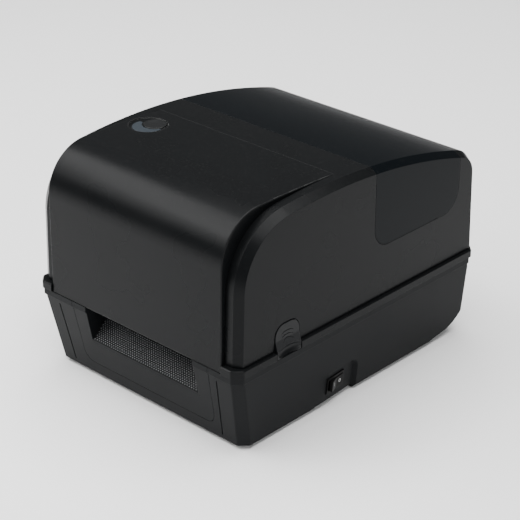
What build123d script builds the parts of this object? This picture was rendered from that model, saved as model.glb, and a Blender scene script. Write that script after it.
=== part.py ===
from build123d import *
import os
from math import acos, atan2, cos, degrees, hypot, pi, radians, sin, tan

# Desktop thermal-transfer label printer, millimetres. X runs to the right, Y to the back, Z up.
# The origin is on the table under the middle of the housing. The lid is shut.

# ---------------------------------------------------------------- driving dimensions
# Housing, overall
WIDTH = 222.0            # across the lid ledge
DEPTH = 284.0            # front to back of the lid ledge
FOOT_PROUD = 1.5         # rubber foot below the base
SEAM_Z = 69.3            # top edge of the base, where the lid closes
LEDGE_TALL = 6.7         # ledge that runs round the lid, above the seam
COVER_TOP = 189.0        # crown of the cover
WALL = 2.6               # moulded wall
CORNER = 6.8             # cut-off vertical corner of base and ledge
CORNER_SOFT = 2.4        # rounding of the edges of that corner

# Clearances
LID_GAP = 0.3            # lid to base
SEAM = 0.4               # visible seam between two mouldings
RUN = 0.05               # radial clearance of a shaft in its bearing
FREE = 0.4               # clearance round a moving piece

# Cover profile, side view
COVER_SET = 2.9          # cover's side lies in from the ledge
EDGE_WIDE = 6.8          # chamfer along the cover's edge, across X
EDGE_DEEP = 4.2          # the same chamfer, seen from the side
COVER_SET_FRONT = 4.8    # cover's front lies in from the ledge
FRONT_LEAN = 1.8         # how far the front leans back over LEAN_RISE
COVER_SET_REAR = 1.7
REAR_LEAN = 1.8
LEAN_RISE = 60.0
CROWN_Y = -35.0          # highest line of the cover
CROWN_R = 549.0          # roof radius
FRONT_BEND = 55.0
REAR_BEND = 22.0

# Raised centre panel
PANEL_SET = 17.7         # panel's side lies in from the ledge
PANEL_SET_FRONT = 1.4
PANEL_LEAN = 0.9
PANEL_PROUD = 1.5        # top of the panel above the cover's crown
PANEL_CROWN_Y = -92.0
PANEL_CROWN_R = 1800.0
PANEL_BEND = 39.0
PANEL_LONG = 120.6       # front of the panel to its rear seam

# Smoked window
WINDOW_LONG = 105.0
WINDOW_SET_REAR = 25.0   # rear edge of the window in from the rear of the ledge
WINDOW_LOW = 119.0
WINDOW_R_FRONT = 17.0
WINDOW_R_REAR = 20.0
WINDOW_LIP = 4.0         # hidden lip behind the cover round the window
LIP_THICK = 1.4

# Base profile
RIM_DROP = 5.0           # straight band under the seam
RIM_STEP = 1.0           # band stands proud of the wall below
RIM_SET = 0.6            # band lies in from the ledge at the sides
RIM_SET_FRONT = 0.8
RIM_SET_REAR = 0.2
FLARE_SIDE = 5.5         # walls lean in towards the bottom
FLARE_FRONT = 12.2
FLARE_REAR = 1.0
FOOT_EDGE = 2.0          # chamfer along the bottom edge
TAIL_LONG = 48.0         # stretch at the rear where the bottom rises
TAIL_STEP = 2.6
TAIL_SLOPE = 0.14
TAIL_BEND = 34.0
CREASE_TURN = 2.2        # angle of the crease along the rear of each side
CREASE_DROP = 3.0        # its ends below the top of the switch recess and the rim band

# Front bezel with the label exit
FACE_SHIFT = 4.5         # bezel and slot sit to the right of the middle
BEZEL_TOP_HALF = 74.8
BEZEL_LOW_HALF = 72.0
BEZEL_LOW = 14.5
BEZEL_R = 9.5
GROOVE_OUT = 12.3        # shallow groove, out from the middle's bezel edge
GROOVE_WIDE = 1.4
GROOVE_DEEP = 0.6
GROOVE_DROP = 4.0
SLOT_HALF = 59.0
SLOT_LOW = 38.5
RAMP_RUN = 15.5          # depth of the 45 degree ramp behind the slot
RAMP_THICK = 2.0

# Label path
PLATEN_BACK = 34.0       # platen axis behind the front of the ledge
PLATEN_DOWN = 9.3        # platen axis below the seam
PLATEN_R = 8.0
PLATEN_HALF = 56.0
SHAFT_R = 3.0
MEDIA_GAP = 0.4          # print head above platen
FRAME_X = 68.0           # inner face of the platen frames
FRAME_THICK = 2.0
FRAME_LONG = 74.0
TEAR_AHEAD = 12.0        # tear bar in front of the platen axis
TEAR_THICK = 1.2
TEAR_RISE = 7.4          # its edge above the platen axis
TEAR_TALL = 9.4
TEAR_LIP = 3.5
DECK_BEHIND = 12.0       # front edge of the label deck behind the platen axis
TAIL_DROP = 4.0          # rear deck lies lower than the front one
TRAY_HALF = 74.0
TRAY_DOWN = 3.3          # rim of the tray below the seam
ROLL_AHEAD = 92.0        # axis of the label roll in front of the rear of the ledge
BAY_R = 61.0
TRAY_STAND = 12.3        # underside of the bay above the floor

# Hinge
HINGE_SET = 3.5          # hinge axis in from the rear of the ledge
HINGE_DOWN = 3.3         # and below the seam
KNUCKLE_R = 3.2
HINGE_PIN_R = 1.5
HINGE_IN = 28.0          # middle of each hinge in from the side
HINGE_HALF = 13.0
LID_KNUCKLE_HALF = 5.0
LEAF = 2.4
NOTCH_AHEAD = 5.3        # base cut low behind here, so the ledge can swing
NOTCH_DOWN = 5.6

# Side latches
LATCH_BACK = 55.7        # middle of the latch behind the front of the ledge
LATCH_HALF = 12.8
LATCH_UP = 0.6           # lower end of the latch above the seam
LATCH_TALL = 26.3
LATCH_PIVOT_IN = 4.9     # pivot in from the cover's side
LATCH_PIVOT_UP = 20.6    # pivot above the latch's lower end
LATCH_PIN_R = 1.5
LATCH_GAP = 0.8

# Power switch
SWITCH_BACK = 115.3      # middle of the switch behind the front of the ledge
SWITCH_Z = 17.7
SWITCH_LONG = 21.0
SWITCH_TALL = 14.0
RECESS_TURN = 4.4        # recess floor turns away from the wall
RECESS_SLOPE = 38.0      # slope of its end and top walls
RECESS_AHEAD = 14.3      # recess in front of and behind the switch's middle
RECESS_BEHIND = 23.7
RECESS_UP = 10.8
RECESS_R = 7.0           # radius of its top corners on the floor
ROCKER_TILT = 8.0
FINGER_AHEAD = 8.5       # lifted bottom edge under the recess
FINGER_DEEP = 13.4
FINGER_TALL = 3.0
EDGE_LIFT = 0.9          # bottom edge between the rear foot and the tail

# Feed button and status light
DISH_IN = 18.8           # middle of the dish in from the panel's side
DISH_AHEAD = 30.0        # and in front of the panel's rear seam
DISH_R = 16.0
DISH_DEEP = 1.0
BUTTON_RIGHT = 2.0       # button sits off the dish centre, to the right and to the rear
BUTTON_REAR = 5.6
BUTTON_R = 9.6
BUTTON_TRAVEL = 1.0
LIGHT_R = 12.4           # outer round of the status light
LIGHT_RIGHT = 1.0        # its centre off the dish centre
LIGHT_AHEAD = 1.5
LIGHT_END = 1.5          # blunt ends of the crescent, behind the dish centre

# Drive train of the platen
GEAR_MODULE = 0.8
GEAR_WIDE = 5.0
PLATEN_TEETH = 32
IDLER_TEETH = 30
PINION_TEETH = 16
MOTOR_BEHIND = 24.0      # motor axis behind the platen axis
MOTOR_SIZE = 42.0
MOTOR_LONG = 34.0
MOTOR_BELOW = 34.2       # motor axis below the platen axis
GEAR_OUT = 7.2           # gears outside the left platen frame

# Ribbon mechanism
MODULE_OUT = 2.0         # print module sides outside the platen frames
MODULE_THICK = 2.0
SUPPLY_BEHIND = 64.0     # supply spindle behind and above the platen axis
SUPPLY_UP = 62.0
TAKEUP_BEHIND = 10.0     # take-up spindle, the same
TAKEUP_UP = 80.0
CORE_R = 12.4
SPINDLE_R = 4.0
TAKEUP_TEETH = 48
RIBBON_TEETH = 12
RIBBON_MOTOR_R = 13.0
RIBBON_MOTOR_LONG = 13.0

# Print head
HEAD_PIVOT_BEHIND = 42.0
HEAD_PIVOT_UP = 26.0
HEAD_HALF = 57.0

# Media guides
GUIDE_OPEN = 59.5        # inner face of a guide, wide open
GUIDE_THICK = 3.0
GUIDE_TRAVEL = 46.0
GUIDE_R = 28.0
HUB_R = 11.5
HUB_LONG = 9.0
RACK_MODULE = 1.0
RACK_TEETH = 16
RACK_Z = 7.5
RACK_TALL = 5.0

# Label sensor
SENSOR_BEHIND = 24.0     # label sensor behind the platen axis
SENSOR_TRAVEL = 40.0

# Rear connectors
PORT_SET = 12.0          # connector plate in from the rear of the ledge
PORT_LEFT = -66.0
PORT_RIGHT = 14.0
PORT_LOW = 22.0
PORT_HIGH = 50.0
BOARD_AHEAD = 12.0       # main board in front of the connector plate
BOARD_THICK = 1.6
BOARD_LOW = 16.0
JACK_X = -50.0
USB_X = -28.0
NET_X = -4.0
PORT_Z = 35.0

# ---------------------------------------------------------------- derived places
BASE_BOTTOM = FOOT_PROUD
FLOOR_Z = BASE_BOTTOM + WALL
HALF_WIDTH = WIDTH / 2
HALF_DEPTH = DEPTH / 2
LEDGE_LOW = SEAM_Z + LID_GAP
LEDGE_TOP = SEAM_Z + LEDGE_TALL
COVER_HALF = HALF_WIDTH - COVER_SET
COVER_FRONT = COVER_SET_FRONT - HALF_DEPTH
COVER_REAR = HALF_DEPTH - COVER_SET_REAR
EDGE_X = COVER_HALF - EDGE_WIDE
PANEL_HALF = HALF_WIDTH - PANEL_SET
PANEL_FRONT = PANEL_SET_FRONT - HALF_DEPTH
PANEL_REAR = PANEL_FRONT + PANEL_LONG
PANEL_TOP = COVER_TOP + PANEL_PROUD
WINDOW_REAR = HALF_DEPTH - WINDOW_SET_REAR
WINDOW_FRONT = WINDOW_REAR - WINDOW_LONG
DISH_X = DISH_IN - PANEL_HALF
DISH_Y = PANEL_REAR - DISH_AHEAD
SWITCH_Y = SWITCH_BACK - HALF_DEPTH
RECESS_FRONT = SWITCH_Y - RECESS_AHEAD
RECESS_REAR = SWITCH_Y + RECESS_BEHIND
RECESS_TOP = SWITCH_Z + RECESS_UP
RIM_LOW = SEAM_Z - RIM_DROP
RIM_HALF = HALF_WIDTH - RIM_SET
RIM_FRONT = RIM_SET_FRONT - HALF_DEPTH
RIM_REAR = HALF_DEPTH - RIM_SET_REAR
TAIL_Y = HALF_DEPTH - TAIL_LONG
PLATEN_Y = PLATEN_BACK - HALF_DEPTH
PLATEN_Z = SEAM_Z - PLATEN_DOWN
TEAR_Y = PLATEN_Y - TEAR_AHEAD
TEAR_HIGH = PLATEN_Z + TEAR_RISE
TEAR_LOW = TEAR_HIGH - TEAR_TALL
FRAME_FRONT = TEAR_Y
FRAME_REAR = FRAME_FRONT + FRAME_LONG
DECK_Z = PLATEN_Z
DECK_FRONT = PLATEN_Y + DECK_BEHIND
TRAY_RIM = SEAM_Z - TRAY_DOWN
ROLL_Y = HALF_DEPTH - ROLL_AHEAD
ROLL_Z = FLOOR_Z + WALL + BAY_R + TRAY_STAND
HINGE_X = HALF_WIDTH - HINGE_IN
HINGE_Y = HALF_DEPTH - HINGE_SET
HINGE_Z = SEAM_Z - HINGE_DOWN
NOTCH_Y = HINGE_Y - NOTCH_AHEAD
NOTCH_Z = HINGE_Z - NOTCH_DOWN
LATCH_Y = LATCH_BACK - HALF_DEPTH
LATCH_LOW = SEAM_Z + LATCH_UP
LATCH_TOP = LATCH_LOW + LATCH_TALL
LATCH_PIVOT_X = COVER_HALF - LATCH_PIVOT_IN
LATCH_PIVOT_Z = LATCH_LOW + LATCH_PIVOT_UP
MOTOR_Y = PLATEN_Y + MOTOR_BEHIND
MOTOR_Z = PLATEN_Z - MOTOR_BELOW
GEAR_X = -FRAME_X - FRAME_THICK - GEAR_OUT
MODULE_X = FRAME_X + FRAME_THICK + MODULE_OUT
SUPPLY_Y = PLATEN_Y + SUPPLY_BEHIND
SUPPLY_Z = PLATEN_Z + SUPPLY_UP
TAKEUP_Y = PLATEN_Y + TAKEUP_BEHIND
TAKEUP_Z = PLATEN_Z + TAKEUP_UP
HEAD_PIVOT_Y = PLATEN_Y + HEAD_PIVOT_BEHIND
HEAD_PIVOT_Z = PLATEN_Z + HEAD_PIVOT_UP
HEAD_LOW = PLATEN_Z + PLATEN_R + MEDIA_GAP
SENSOR_Y = PLATEN_Y + SENSOR_BEHIND
PORT_Y = HALF_DEPTH - PORT_SET
BOARD_Y = PORT_Y - BOARD_AHEAD
BUTTON_X = DISH_X + BUTTON_RIGHT
BUTTON_Y = DISH_Y + BUTTON_REAR
FAR = 400.0


# ---------------------------------------------------------------- drawing helpers
def box(x0, x1, y0, y1, z0, z1):
    return Pos((x0 + x1) / 2, (y0 + y1) / 2, (z0 + z1) / 2) * Box(x1 - x0, y1 - y0, z1 - z0)


def slab_x(face, x0, x1):
    """A face drawn in (Y, Z), made solid from x0 to x1."""
    return extrude(Plane.YZ.offset(x0) * face, x1 - x0, dir=(1, 0, 0))


def slab_y(face, y0, y1):
    """A face drawn in (X, Z), made solid from y0 to y1."""
    return extrude(Plane.XZ.offset(-y1) * face, y1 - y0, dir=(0, -1, 0))


def slab_z(face, z0, z1):
    """A face drawn in (X, Y), made solid from z0 to z1."""
    return extrude(Plane.XY.offset(z0) * face, z1 - z0, dir=(0, 0, 1))


def rod_x(radius, x0, x1, y, z):
    return slab_x(Pos(y, z) * Circle(radius), x0, x1)


def rod_y(radius, y0, y1, x, z):
    return slab_y(Pos(x, z) * Circle(radius), y0, y1)


def rod_z(radius, z0, z1, x, y):
    return slab_z(Pos(x, y) * Circle(radius), z0, z1)


def outline(*points):
    return Polygon(*points, align=None)


def cut_rect(half_x, y0, y1, corner, soft=0.0):
    """A rectangle in plan with its four corners cut off; soft rounds the edges of the cuts."""
    c = corner
    face = outline((-half_x + c, y0), (half_x - c, y0), (half_x, y0 + c), (half_x, y1 - c),
                   (half_x - c, y1), (-half_x + c, y1), (-half_x, y1 - c), (-half_x, y0 + c))
    return fillet(face.vertices(), soft) if soft else face


def mirrored(solid):
    return mirror(solid, Plane.YZ)


def group(*solids):
    """Separate solids kept in one node."""
    return Compound(children=[piece for solid in solids for piece in solid.solids()])


# ---------------------------------------------------------------- gears
def involute_flank(module, teeth, backlash):
    """Points of one flank, as (radius, half angle of the tooth there)."""
    pitch = module * teeth / 2
    base = pitch * cos(radians(20))
    root = pitch - 1.25 * module
    tip = pitch + module
    half_pitch = pi / (2 * teeth) - backlash / (2 * pitch)
    at_pitch = tan(radians(20)) - radians(20)
    points = [(root, half_pitch + at_pitch)]
    start = max(base, root + 0.01)
    for step in range(5):
        radius = start + (tip - start) * step / 4
        pressure = acos(base / radius)
        points.append((radius, half_pitch + at_pitch - (tan(pressure) - pressure)))
    return points


def gear_face(teeth, module, phase, backlash=0.14):
    """Spur gear outline with one tooth centred on the angle phase, in degrees."""
    flank = involute_flank(module, teeth, backlash)
    points = []
    for tooth in range(teeth):
        middle = radians(phase) + 2 * pi * tooth / teeth
        rising = [(r, middle - half) for r, half in flank]
        falling = [(r, middle + half) for r, half in reversed(flank)]
        points += [(r * cos(a), r * sin(a)) for r, a in rising + falling]
    return outline(*points)


def mesh_phase(phase, teeth, direction, next_teeth):
    """Phase of a gear that meshes with another one lying at an angle from it."""
    step = 360 / teeth
    offset = (direction - phase) % step
    return direction + 180 + offset * teeth / next_teeth + 180 / next_teeth


def heading(y0, z0, y1, z1):
    return degrees(atan2(z1 - z0, y1 - y0))


def idler_centre():
    """The idler sits where it meshes with both the platen gear and the motor pinion."""
    to_platen = GEAR_MODULE * (IDLER_TEETH + PLATEN_TEETH) / 2
    to_motor = GEAR_MODULE * (IDLER_TEETH + PINION_TEETH) / 2
    span = hypot(MOTOR_Y - PLATEN_Y, MOTOR_Z - PLATEN_Z)
    along = (to_platen ** 2 - to_motor ** 2 + span ** 2) / (2 * span)
    aside = (to_platen ** 2 - along ** 2) ** 0.5
    uy = (MOTOR_Y - PLATEN_Y) / span
    uz = (MOTOR_Z - PLATEN_Z) / span
    return PLATEN_Y + along * uy + aside * uz, PLATEN_Z + along * uz - aside * uy


IDLER_Y, IDLER_Z = idler_centre()
PLATEN_PHASE = 0.0
IDLER_PHASE = mesh_phase(PLATEN_PHASE, PLATEN_TEETH,
                         heading(PLATEN_Y, PLATEN_Z, IDLER_Y, IDLER_Z), IDLER_TEETH)
PINION_PHASE = mesh_phase(IDLER_PHASE, IDLER_TEETH,
                          heading(IDLER_Y, IDLER_Z, MOTOR_Y, MOTOR_Z), PINION_TEETH)
RIBBON_REACH = GEAR_MODULE * (TAKEUP_TEETH + RIBBON_TEETH) / 2
RIBBON_MOTOR_Y = TAKEUP_Y + RIBBON_REACH * cos(radians(-35))
RIBBON_MOTOR_Z = TAKEUP_Z + RIBBON_REACH * sin(radians(-35))
RIBBON_PHASE = mesh_phase(0.0, TAKEUP_TEETH, -35.0, RIBBON_TEETH)


# ---------------------------------------------------------------- housing bodies
def leaning_outline(front, front_lean, rear, rear_lean, crown_y, crown_r, top, inset):
    """Front and rear lines and the roof arc of a side view, moved in by inset."""
    low = LEDGE_LOW - 30
    high = top + 40
    rise_low = (low - LEDGE_TOP) / LEAN_RISE
    rise_high = (high - LEDGE_TOP) / LEAN_RISE
    walls = outline((front + front_lean * rise_low + inset, low),
                    (rear - rear_lean * rise_low - inset, low),
                    (rear - rear_lean * rise_high - inset, high),
                    (front + front_lean * rise_high + inset, high))
    return walls & (Pos(crown_y, top - crown_r) * Circle(crown_r - inset))


def round_roof(face, front_radius, rear_radius):
    """Round the two top corners of a side view."""
    top = face.vertices().sort_by(Axis.Y)[-2:].sort_by(Axis.X)
    face = fillet(top[0], front_radius)
    if rear_radius:
        top = face.vertices().sort_by(Axis.X)
        high = [v for v in top if v.Y > LEDGE_TOP]
        face = fillet(high[-1], rear_radius)
    return face


def cover_outline(inset):
    face = leaning_outline(COVER_FRONT, FRONT_LEAN, COVER_REAR, REAR_LEAN,
                           CROWN_Y, CROWN_R, COVER_TOP, inset)
    return round_roof(face, FRONT_BEND - inset, REAR_BEND - inset)


def cover_body(inset):
    """The whole cover as a filled body with its chamfered edge, moved in by inset."""
    edge = EDGE_X - 0.4 * inset
    side = COVER_HALF - inset
    body = slab_x(cover_outline(inset), -edge, edge)
    wide = Plane.YZ.offset(edge) * cover_outline(inset)
    narrow = Plane.YZ.offset(side) * cover_outline(inset + EDGE_DEEP)
    flank = loft([wide.face(), narrow.face()], ruled=True)
    body = body + flank + mirrored(flank)
    return body & box(-FAR, FAR, -FAR, FAR, LEDGE_TOP, FAR)


def panel_body(inset):
    """The raised centre panel as a filled body, moved in by inset."""
    face = leaning_outline(PANEL_FRONT, PANEL_LEAN, PANEL_REAR + 60, 0, PANEL_CROWN_Y,
                           PANEL_CROWN_R, PANEL_TOP, inset)
    face = round_roof(face, PANEL_BEND - inset, 0)
    return slab_x(face, -PANEL_HALF + inset, PANEL_HALF - inset)


def window_region(grow):
    """Side view of the window, cut through from left to right."""
    face = outline((WINDOW_FRONT - grow, WINDOW_LOW - grow), (WINDOW_REAR + grow, WINDOW_LOW - grow),
                   (WINDOW_REAR + grow, FAR), (WINDOW_FRONT - grow, FAR))
    low = face.vertices().sort_by(Axis.Y)[:2].sort_by(Axis.X)
    face = fillet(low[0], WINDOW_R_FRONT + grow)
    low = face.vertices().group_by(Axis.Y)[0].sort_by(Axis.X)
    face = fillet(low[-1], WINDOW_R_REAR + grow)
    return slab_x(face, -FAR, FAR)


def base_plan(z, inset):
    """Plan of the base at a height, as a face."""
    share = max(0.0, (RIM_LOW - z) / (RIM_LOW - BASE_BOTTOM))
    edge = max(0.0, FOOT_EDGE - (z - BASE_BOTTOM))
    t = inset + RIM_STEP + edge
    face = cut_rect(RIM_HALF - FLARE_SIDE * share - t, RIM_FRONT + FLARE_FRONT * share + t,
                    RIM_REAR - FLARE_REAR * share - t, CORNER, CORNER_SOFT)
    return (Plane.XY.offset(z) * face).face()


def wall_x(z):
    """Outside of the base's side wall at a height."""
    return RIM_HALF - RIM_STEP - FLARE_SIDE * (RIM_LOW - z) / (RIM_LOW - BASE_BOTTOM)


def crease_cut(inset):
    """Sliver taken off the rear of a side wall, below a soft crease that rises to the rear."""
    low_z = RECESS_TOP - CREASE_DROP
    high_z = RIM_LOW - CREASE_DROP
    start = Vector(wall_x(low_z) - inset, RECESS_REAR, low_z)
    finish = Vector(wall_x(high_z) - inset, RIM_REAR, high_z)
    lean = FLARE_SIDE / (RIM_LOW - BASE_BOTTOM)
    plane = Plane(origin=start, x_dir=finish - start, z_dir=Vector(1, 0, -lean))
    outside = plane * Rot(-CREASE_TURN, 0, 0) * Pos(0, 0, 15) * Box(2 * FAR, 2 * FAR, 30)
    below = outline((RECESS_REAR, low_z), (RIM_REAR + 5, high_z), (RIM_REAR + 5, -5), (RECESS_REAR, -5))
    return slab_x(below, HALF_WIDTH / 2, FAR) & outside


def base_body(inset):
    """The base as a filled body: leaning walls, proud rim band and curved tail."""
    foot = loft([base_plan(BASE_BOTTOM, inset), base_plan(BASE_BOTTOM + FOOT_EDGE, inset)], ruled=True)
    wall = loft([base_plan(BASE_BOTTOM + FOOT_EDGE, inset), base_plan(RIM_LOW, inset)], ruled=True)
    rim = slab_z(cut_rect(RIM_HALF - inset, RIM_FRONT + inset, RIM_REAR - inset, CORNER, CORNER_SOFT),
                 RIM_LOW, SEAM_Z)
    low = BASE_BOTTOM + inset
    corner_y = RIM_REAR - 2.3 - inset
    start_z = low + TAIL_STEP
    corner_z = start_z + TAIL_SLOPE * (corner_y - TAIL_Y)
    tail = outline((-FAR, low), (TAIL_Y, low), (TAIL_Y + TAIL_STEP * 0.3, start_z),
                   (corner_y, corner_z), (RIM_REAR + 0.3, RIM_LOW), (RIM_REAR + 0.3, SEAM_Z + 1),
                   (-FAR, SEAM_Z + 1))
    bend = [v for v in tail.vertices() if abs(v.X - corner_y) < 0.01 and v.Y < RIM_LOW]
    tail = fillet(bend, TAIL_BEND - inset)
    body = (foot + wall + rim) & slab_x(tail, -FAR, FAR)
    crease = crease_cut(inset)
    return body - crease - mirrored(crease)


COVER_OUT = cover_body(0)
COVER_IN = cover_body(WALL)
BASE_OUT = base_body(0)
BASE_IN = base_body(WALL) + box(-RIM_HALF + WALL, RIM_HALF - WALL, RIM_FRONT + WALL + CORNER,
                                RIM_REAR - WALL - CORNER, SEAM_Z - 1, SEAM_Z + 5)


# ---------------------------------------------------------------- base mouldings
def bezel_prism(grow):
    """Outline of the front bezel seen from the front, run through the front wall."""
    top = SEAM_Z + 2
    face = outline((-BEZEL_LOW_HALF - grow, BEZEL_LOW - grow), (BEZEL_LOW_HALF + grow, BEZEL_LOW - grow),
                   (BEZEL_TOP_HALF + grow, top), (-BEZEL_TOP_HALF - grow, top))
    face = fillet(face.vertices().sort_by(Axis.Y)[:2], BEZEL_R + grow)
    return Pos(FACE_SHIFT, 0, 0) * slab_y(face, -FAR, PLATEN_Y)


def switch_plane():
    """Plane of the recess floor at the switch: local x runs forward, y down, z outward."""
    depth = (SWITCH_Y - RECESS_FRONT) * tan(radians(RECESS_TURN))
    lean = FLARE_SIDE / (RIM_LOW - BASE_BOTTOM)
    turn = radians(RECESS_TURN)
    along = Vector(-sin(turn), cos(turn), 0)
    upward = Vector(lean, 0, 1)
    outward = along.cross(upward)
    return Plane(origin=(wall_x(SWITCH_Z) - depth, SWITCH_Y, SWITCH_Z), x_dir=-along, z_dir=outward)


SWITCH = switch_plane()


def local_box(plane, x0, x1, y0, y1, z0, z1):
    return plane * Pos((x0 + x1) / 2, (y0 + y1) / 2, (z0 + z1) / 2) * Box(x1 - x0, y1 - y0, z1 - z0)


def recess_cut():
    """Wedge cut in the side wall round the switch, with sloping ends and rounded top corners."""
    low = SWITCH_Z + 12
    front = SWITCH_Y - RECESS_FRONT
    rear = SWITCH_Y - RECESS_REAR
    top = SWITCH_Z - RECESS_TOP
    sections = []
    for out in (0.0, 10.0):
        grow = out * tan(radians(RECESS_SLOPE))
        face = outline((rear - grow, low + grow), (front + grow, low + grow),
                       (front + grow, top - grow), (rear - grow, top - grow))
        face = fillet(face.vertices().group_by(Axis.Y)[0], RECESS_R + grow)
        sections.append((SWITCH * Pos(0, 0, out) * face).face())
    return loft(sections, ruled=True)


def latch_cut(half, low, top):
    """Side view of a latch: straight below, round over the top."""
    face = outline((LATCH_Y - half, low), (LATCH_Y + half, low), (LATCH_Y + half, top),
                   (LATCH_Y - half, top))
    return fillet(face.vertices().group_by(Axis.Y)[-1], half * 0.72)


def latch_opening(x0, x1, low):
    cut = slab_x(latch_cut(LATCH_HALF + LATCH_GAP, low, LATCH_TOP + LATCH_GAP), x0, x1)
    return cut + mirrored(cut)


def front_groove():
    """Shallow groove down the front of the base, beside the bezel."""
    top = RIM_LOW - GROOVE_DROP
    low = BASE_BOTTOM + FOOT_EDGE + 4
    half = GROOVE_WIDE / 2
    x_top = BEZEL_TOP_HALF + GROOVE_OUT
    x_low = BEZEL_LOW_HALF + GROOVE_OUT - 1.5
    face = outline((x_low - half, low), (x_low + half, low), (x_top + half, top), (x_top - half, top))
    deep = base_body(GROOVE_DEEP)
    return slab_y(face, -FAR, PLATEN_Y) - deep


def base_tub():
    """Lower housing: leaning walls and floor with all openings."""
    pad = local_box(SWITCH, SWITCH_Y - RECESS_REAR - 5, SWITCH_Y - RECESS_FRONT + 5,
                    SWITCH_Z - RECESS_TOP - 5, 15, -WALL, 8)
    finger = box(RIM_HALF - FINGER_DEEP - 4, RIM_HALF + 5, RECESS_FRONT - FINGER_AHEAD, RECESS_REAR,
                 FLOOR_Z - 1, FLOOR_Z + FINGER_TALL + 0.2)
    thick = (pad + finger) & BASE_OUT
    tub = BASE_OUT - BASE_IN + thick
    tub -= recess_cut()
    tub -= box(RIM_HALF - FINGER_DEEP, FAR, RECESS_FRONT - FINGER_AHEAD, RECESS_REAR,
               -5, BASE_BOTTOM + FINGER_TALL)
    tub -= box(RIM_HALF - FINGER_DEEP, FAR, TAIL_Y - 37, TAIL_Y + 5, -5, BASE_BOTTOM + EDGE_LIFT)
    hole_x = SWITCH_LONG / 2 - 1.2
    hole_y = SWITCH_TALL / 2 - 1.0
    tub -= local_box(SWITCH, -hole_x, hole_x, -hole_y, hole_y, -10, 10)
    tub -= bezel_prism(SEAM)
    groove = front_groove()
    tub = tub - groove - mirrored(groove)
    tub -= box(-FAR, FAR, NOTCH_Y, FAR, NOTCH_Z, FAR)
    tub -= box(PORT_LEFT, PORT_RIGHT, BOARD_Y, FAR, PORT_LOW, PORT_HIGH)
    for x, y in FOOT_PLACES:
        tub -= rod_z(FOOT_R + 0.1, BASE_BOTTOM - 1, BASE_BOTTOM + 1.0, x, y)
    for x, y in SCREW_PLACES:
        tub += rod_z(4.6, FLOOR_Z - 0.5, FLOOR_Z + 2.4, x, y)
        tub -= rod_z(3.2, BASE_BOTTOM - 1, BASE_BOTTOM + 2.2, x, y)
        tub -= rod_z(1.7, BASE_BOTTOM - 1, FLOOR_Z + 5, x, y)
    return tub


def front_bezel():
    """Front panel with the label slot, its side cheeks and the ramp behind it."""
    face_part = (BASE_OUT - BASE_IN) & bezel_prism(0)
    seat = (base_body(WALL) - base_body(WALL + 1.6)) & bezel_prism(3) & box(-FAR, FAR, -FAR, FAR, 0, SEAM_Z)
    slot_front = RIM_FRONT + (RIM_LOW - SLOT_LOW) / (RIM_LOW - BASE_BOTTOM) * FLARE_FRONT
    bezel = face_part + seat
    bezel -= Pos(FACE_SHIFT, 0, 0) * box(-SLOT_HALF, SLOT_HALF, -FAR, PLATEN_Y, SLOT_LOW, FAR)
    y0 = slot_front + RIM_STEP + 0.4
    ramp = outline((y0, SLOT_LOW), (y0 + RAMP_RUN, SLOT_LOW + RAMP_RUN),
                   (y0 + RAMP_RUN, SLOT_LOW + RAMP_RUN - RAMP_THICK * 1.41), (y0 + 4, SLOT_LOW - 2.8),
                   (y0, SLOT_LOW - 2.8))
    inside = slab_x(ramp, -SLOT_HALF - 0.5, SLOT_HALF + 0.5)
    rear = TEAR_Y - TEAR_LIP - FREE
    cheek = outline((y0, SLOT_LOW - 2.8), (y0 + 4, SLOT_LOW - 2.8), (rear, SLOT_LOW + rear - y0 - 2.8),
                    (rear, SEAM_Z - 2), (RIM_FRONT + WALL + 0.5, SEAM_Z - 2))
    side = slab_x(cheek, SLOT_HALF, SLOT_HALF + 1.8)
    return bezel + Pos(FACE_SHIFT, 0, 0) * (inside + side + mirrored(side))


FOOT_R = 8.0
FOOT_X = HALF_WIDTH - 27
FOOT_PLACES = [(x, y) for y in (38 - HALF_DEPTH, HALF_DEPTH - 60) for x in (-FOOT_X, FOOT_X)]
SCREW_X = HALF_WIDTH - 19
SCREW_PLACES = [(-SCREW_X, 82 - HALF_DEPTH), (SCREW_X, 72 - HALF_DEPTH), (-SCREW_X, HALF_DEPTH - 112),
                (SCREW_X, HALF_DEPTH - 102), (-60, HALF_DEPTH - 56), (60, HALF_DEPTH - 56)]


def rubber_feet():
    feet = [rod_z(FOOT_R, 0, BASE_BOTTOM + 1.0, x, y) for x, y in FOOT_PLACES]
    return group(*[chamfer(foot.edges().group_by(Axis.Z)[0], 0.6) for foot in feet])


def base_screws():
    screws = []
    for x, y in SCREW_PLACES:
        head = rod_z(2.9, BASE_BOTTOM + 0.4, BASE_BOTTOM + 2.2, x, y)
        shank = rod_z(1.5, BASE_BOTTOM + 2.2, FLOOR_Z + 2.4, x, y)
        cross = Pos(x, y, BASE_BOTTOM + 0.4) * (Box(2.6, 0.6, 1.6) + Box(0.6, 2.6, 1.6))
        screws.append(head + shank - cross)
    return group(*screws)


# ---------------------------------------------------------------- label path in the base
def tray_profile(t):
    """Side view of the deck, the round media bay and the rear deck."""
    bay = Pos(ROLL_Y, ROLL_Z) * Circle(BAY_R + t)
    reach = (BAY_R ** 2 - (ROLL_Z - DECK_Z) ** 2) ** 0.5
    deck = outline((DECK_FRONT, DECK_Z - t), (ROLL_Y - reach, DECK_Z - t), (ROLL_Y - reach, TRAY_RIM + 40),
                   (DECK_FRONT, TRAY_RIM + 40))
    low = DECK_Z - TAIL_DROP - t
    tail = outline((ROLL_Y, low), (PORT_Y + 3, low), (PORT_Y + 3, TRAY_RIM + 40), (ROLL_Y, TRAY_RIM + 40))
    return bay + deck + tail


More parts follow.
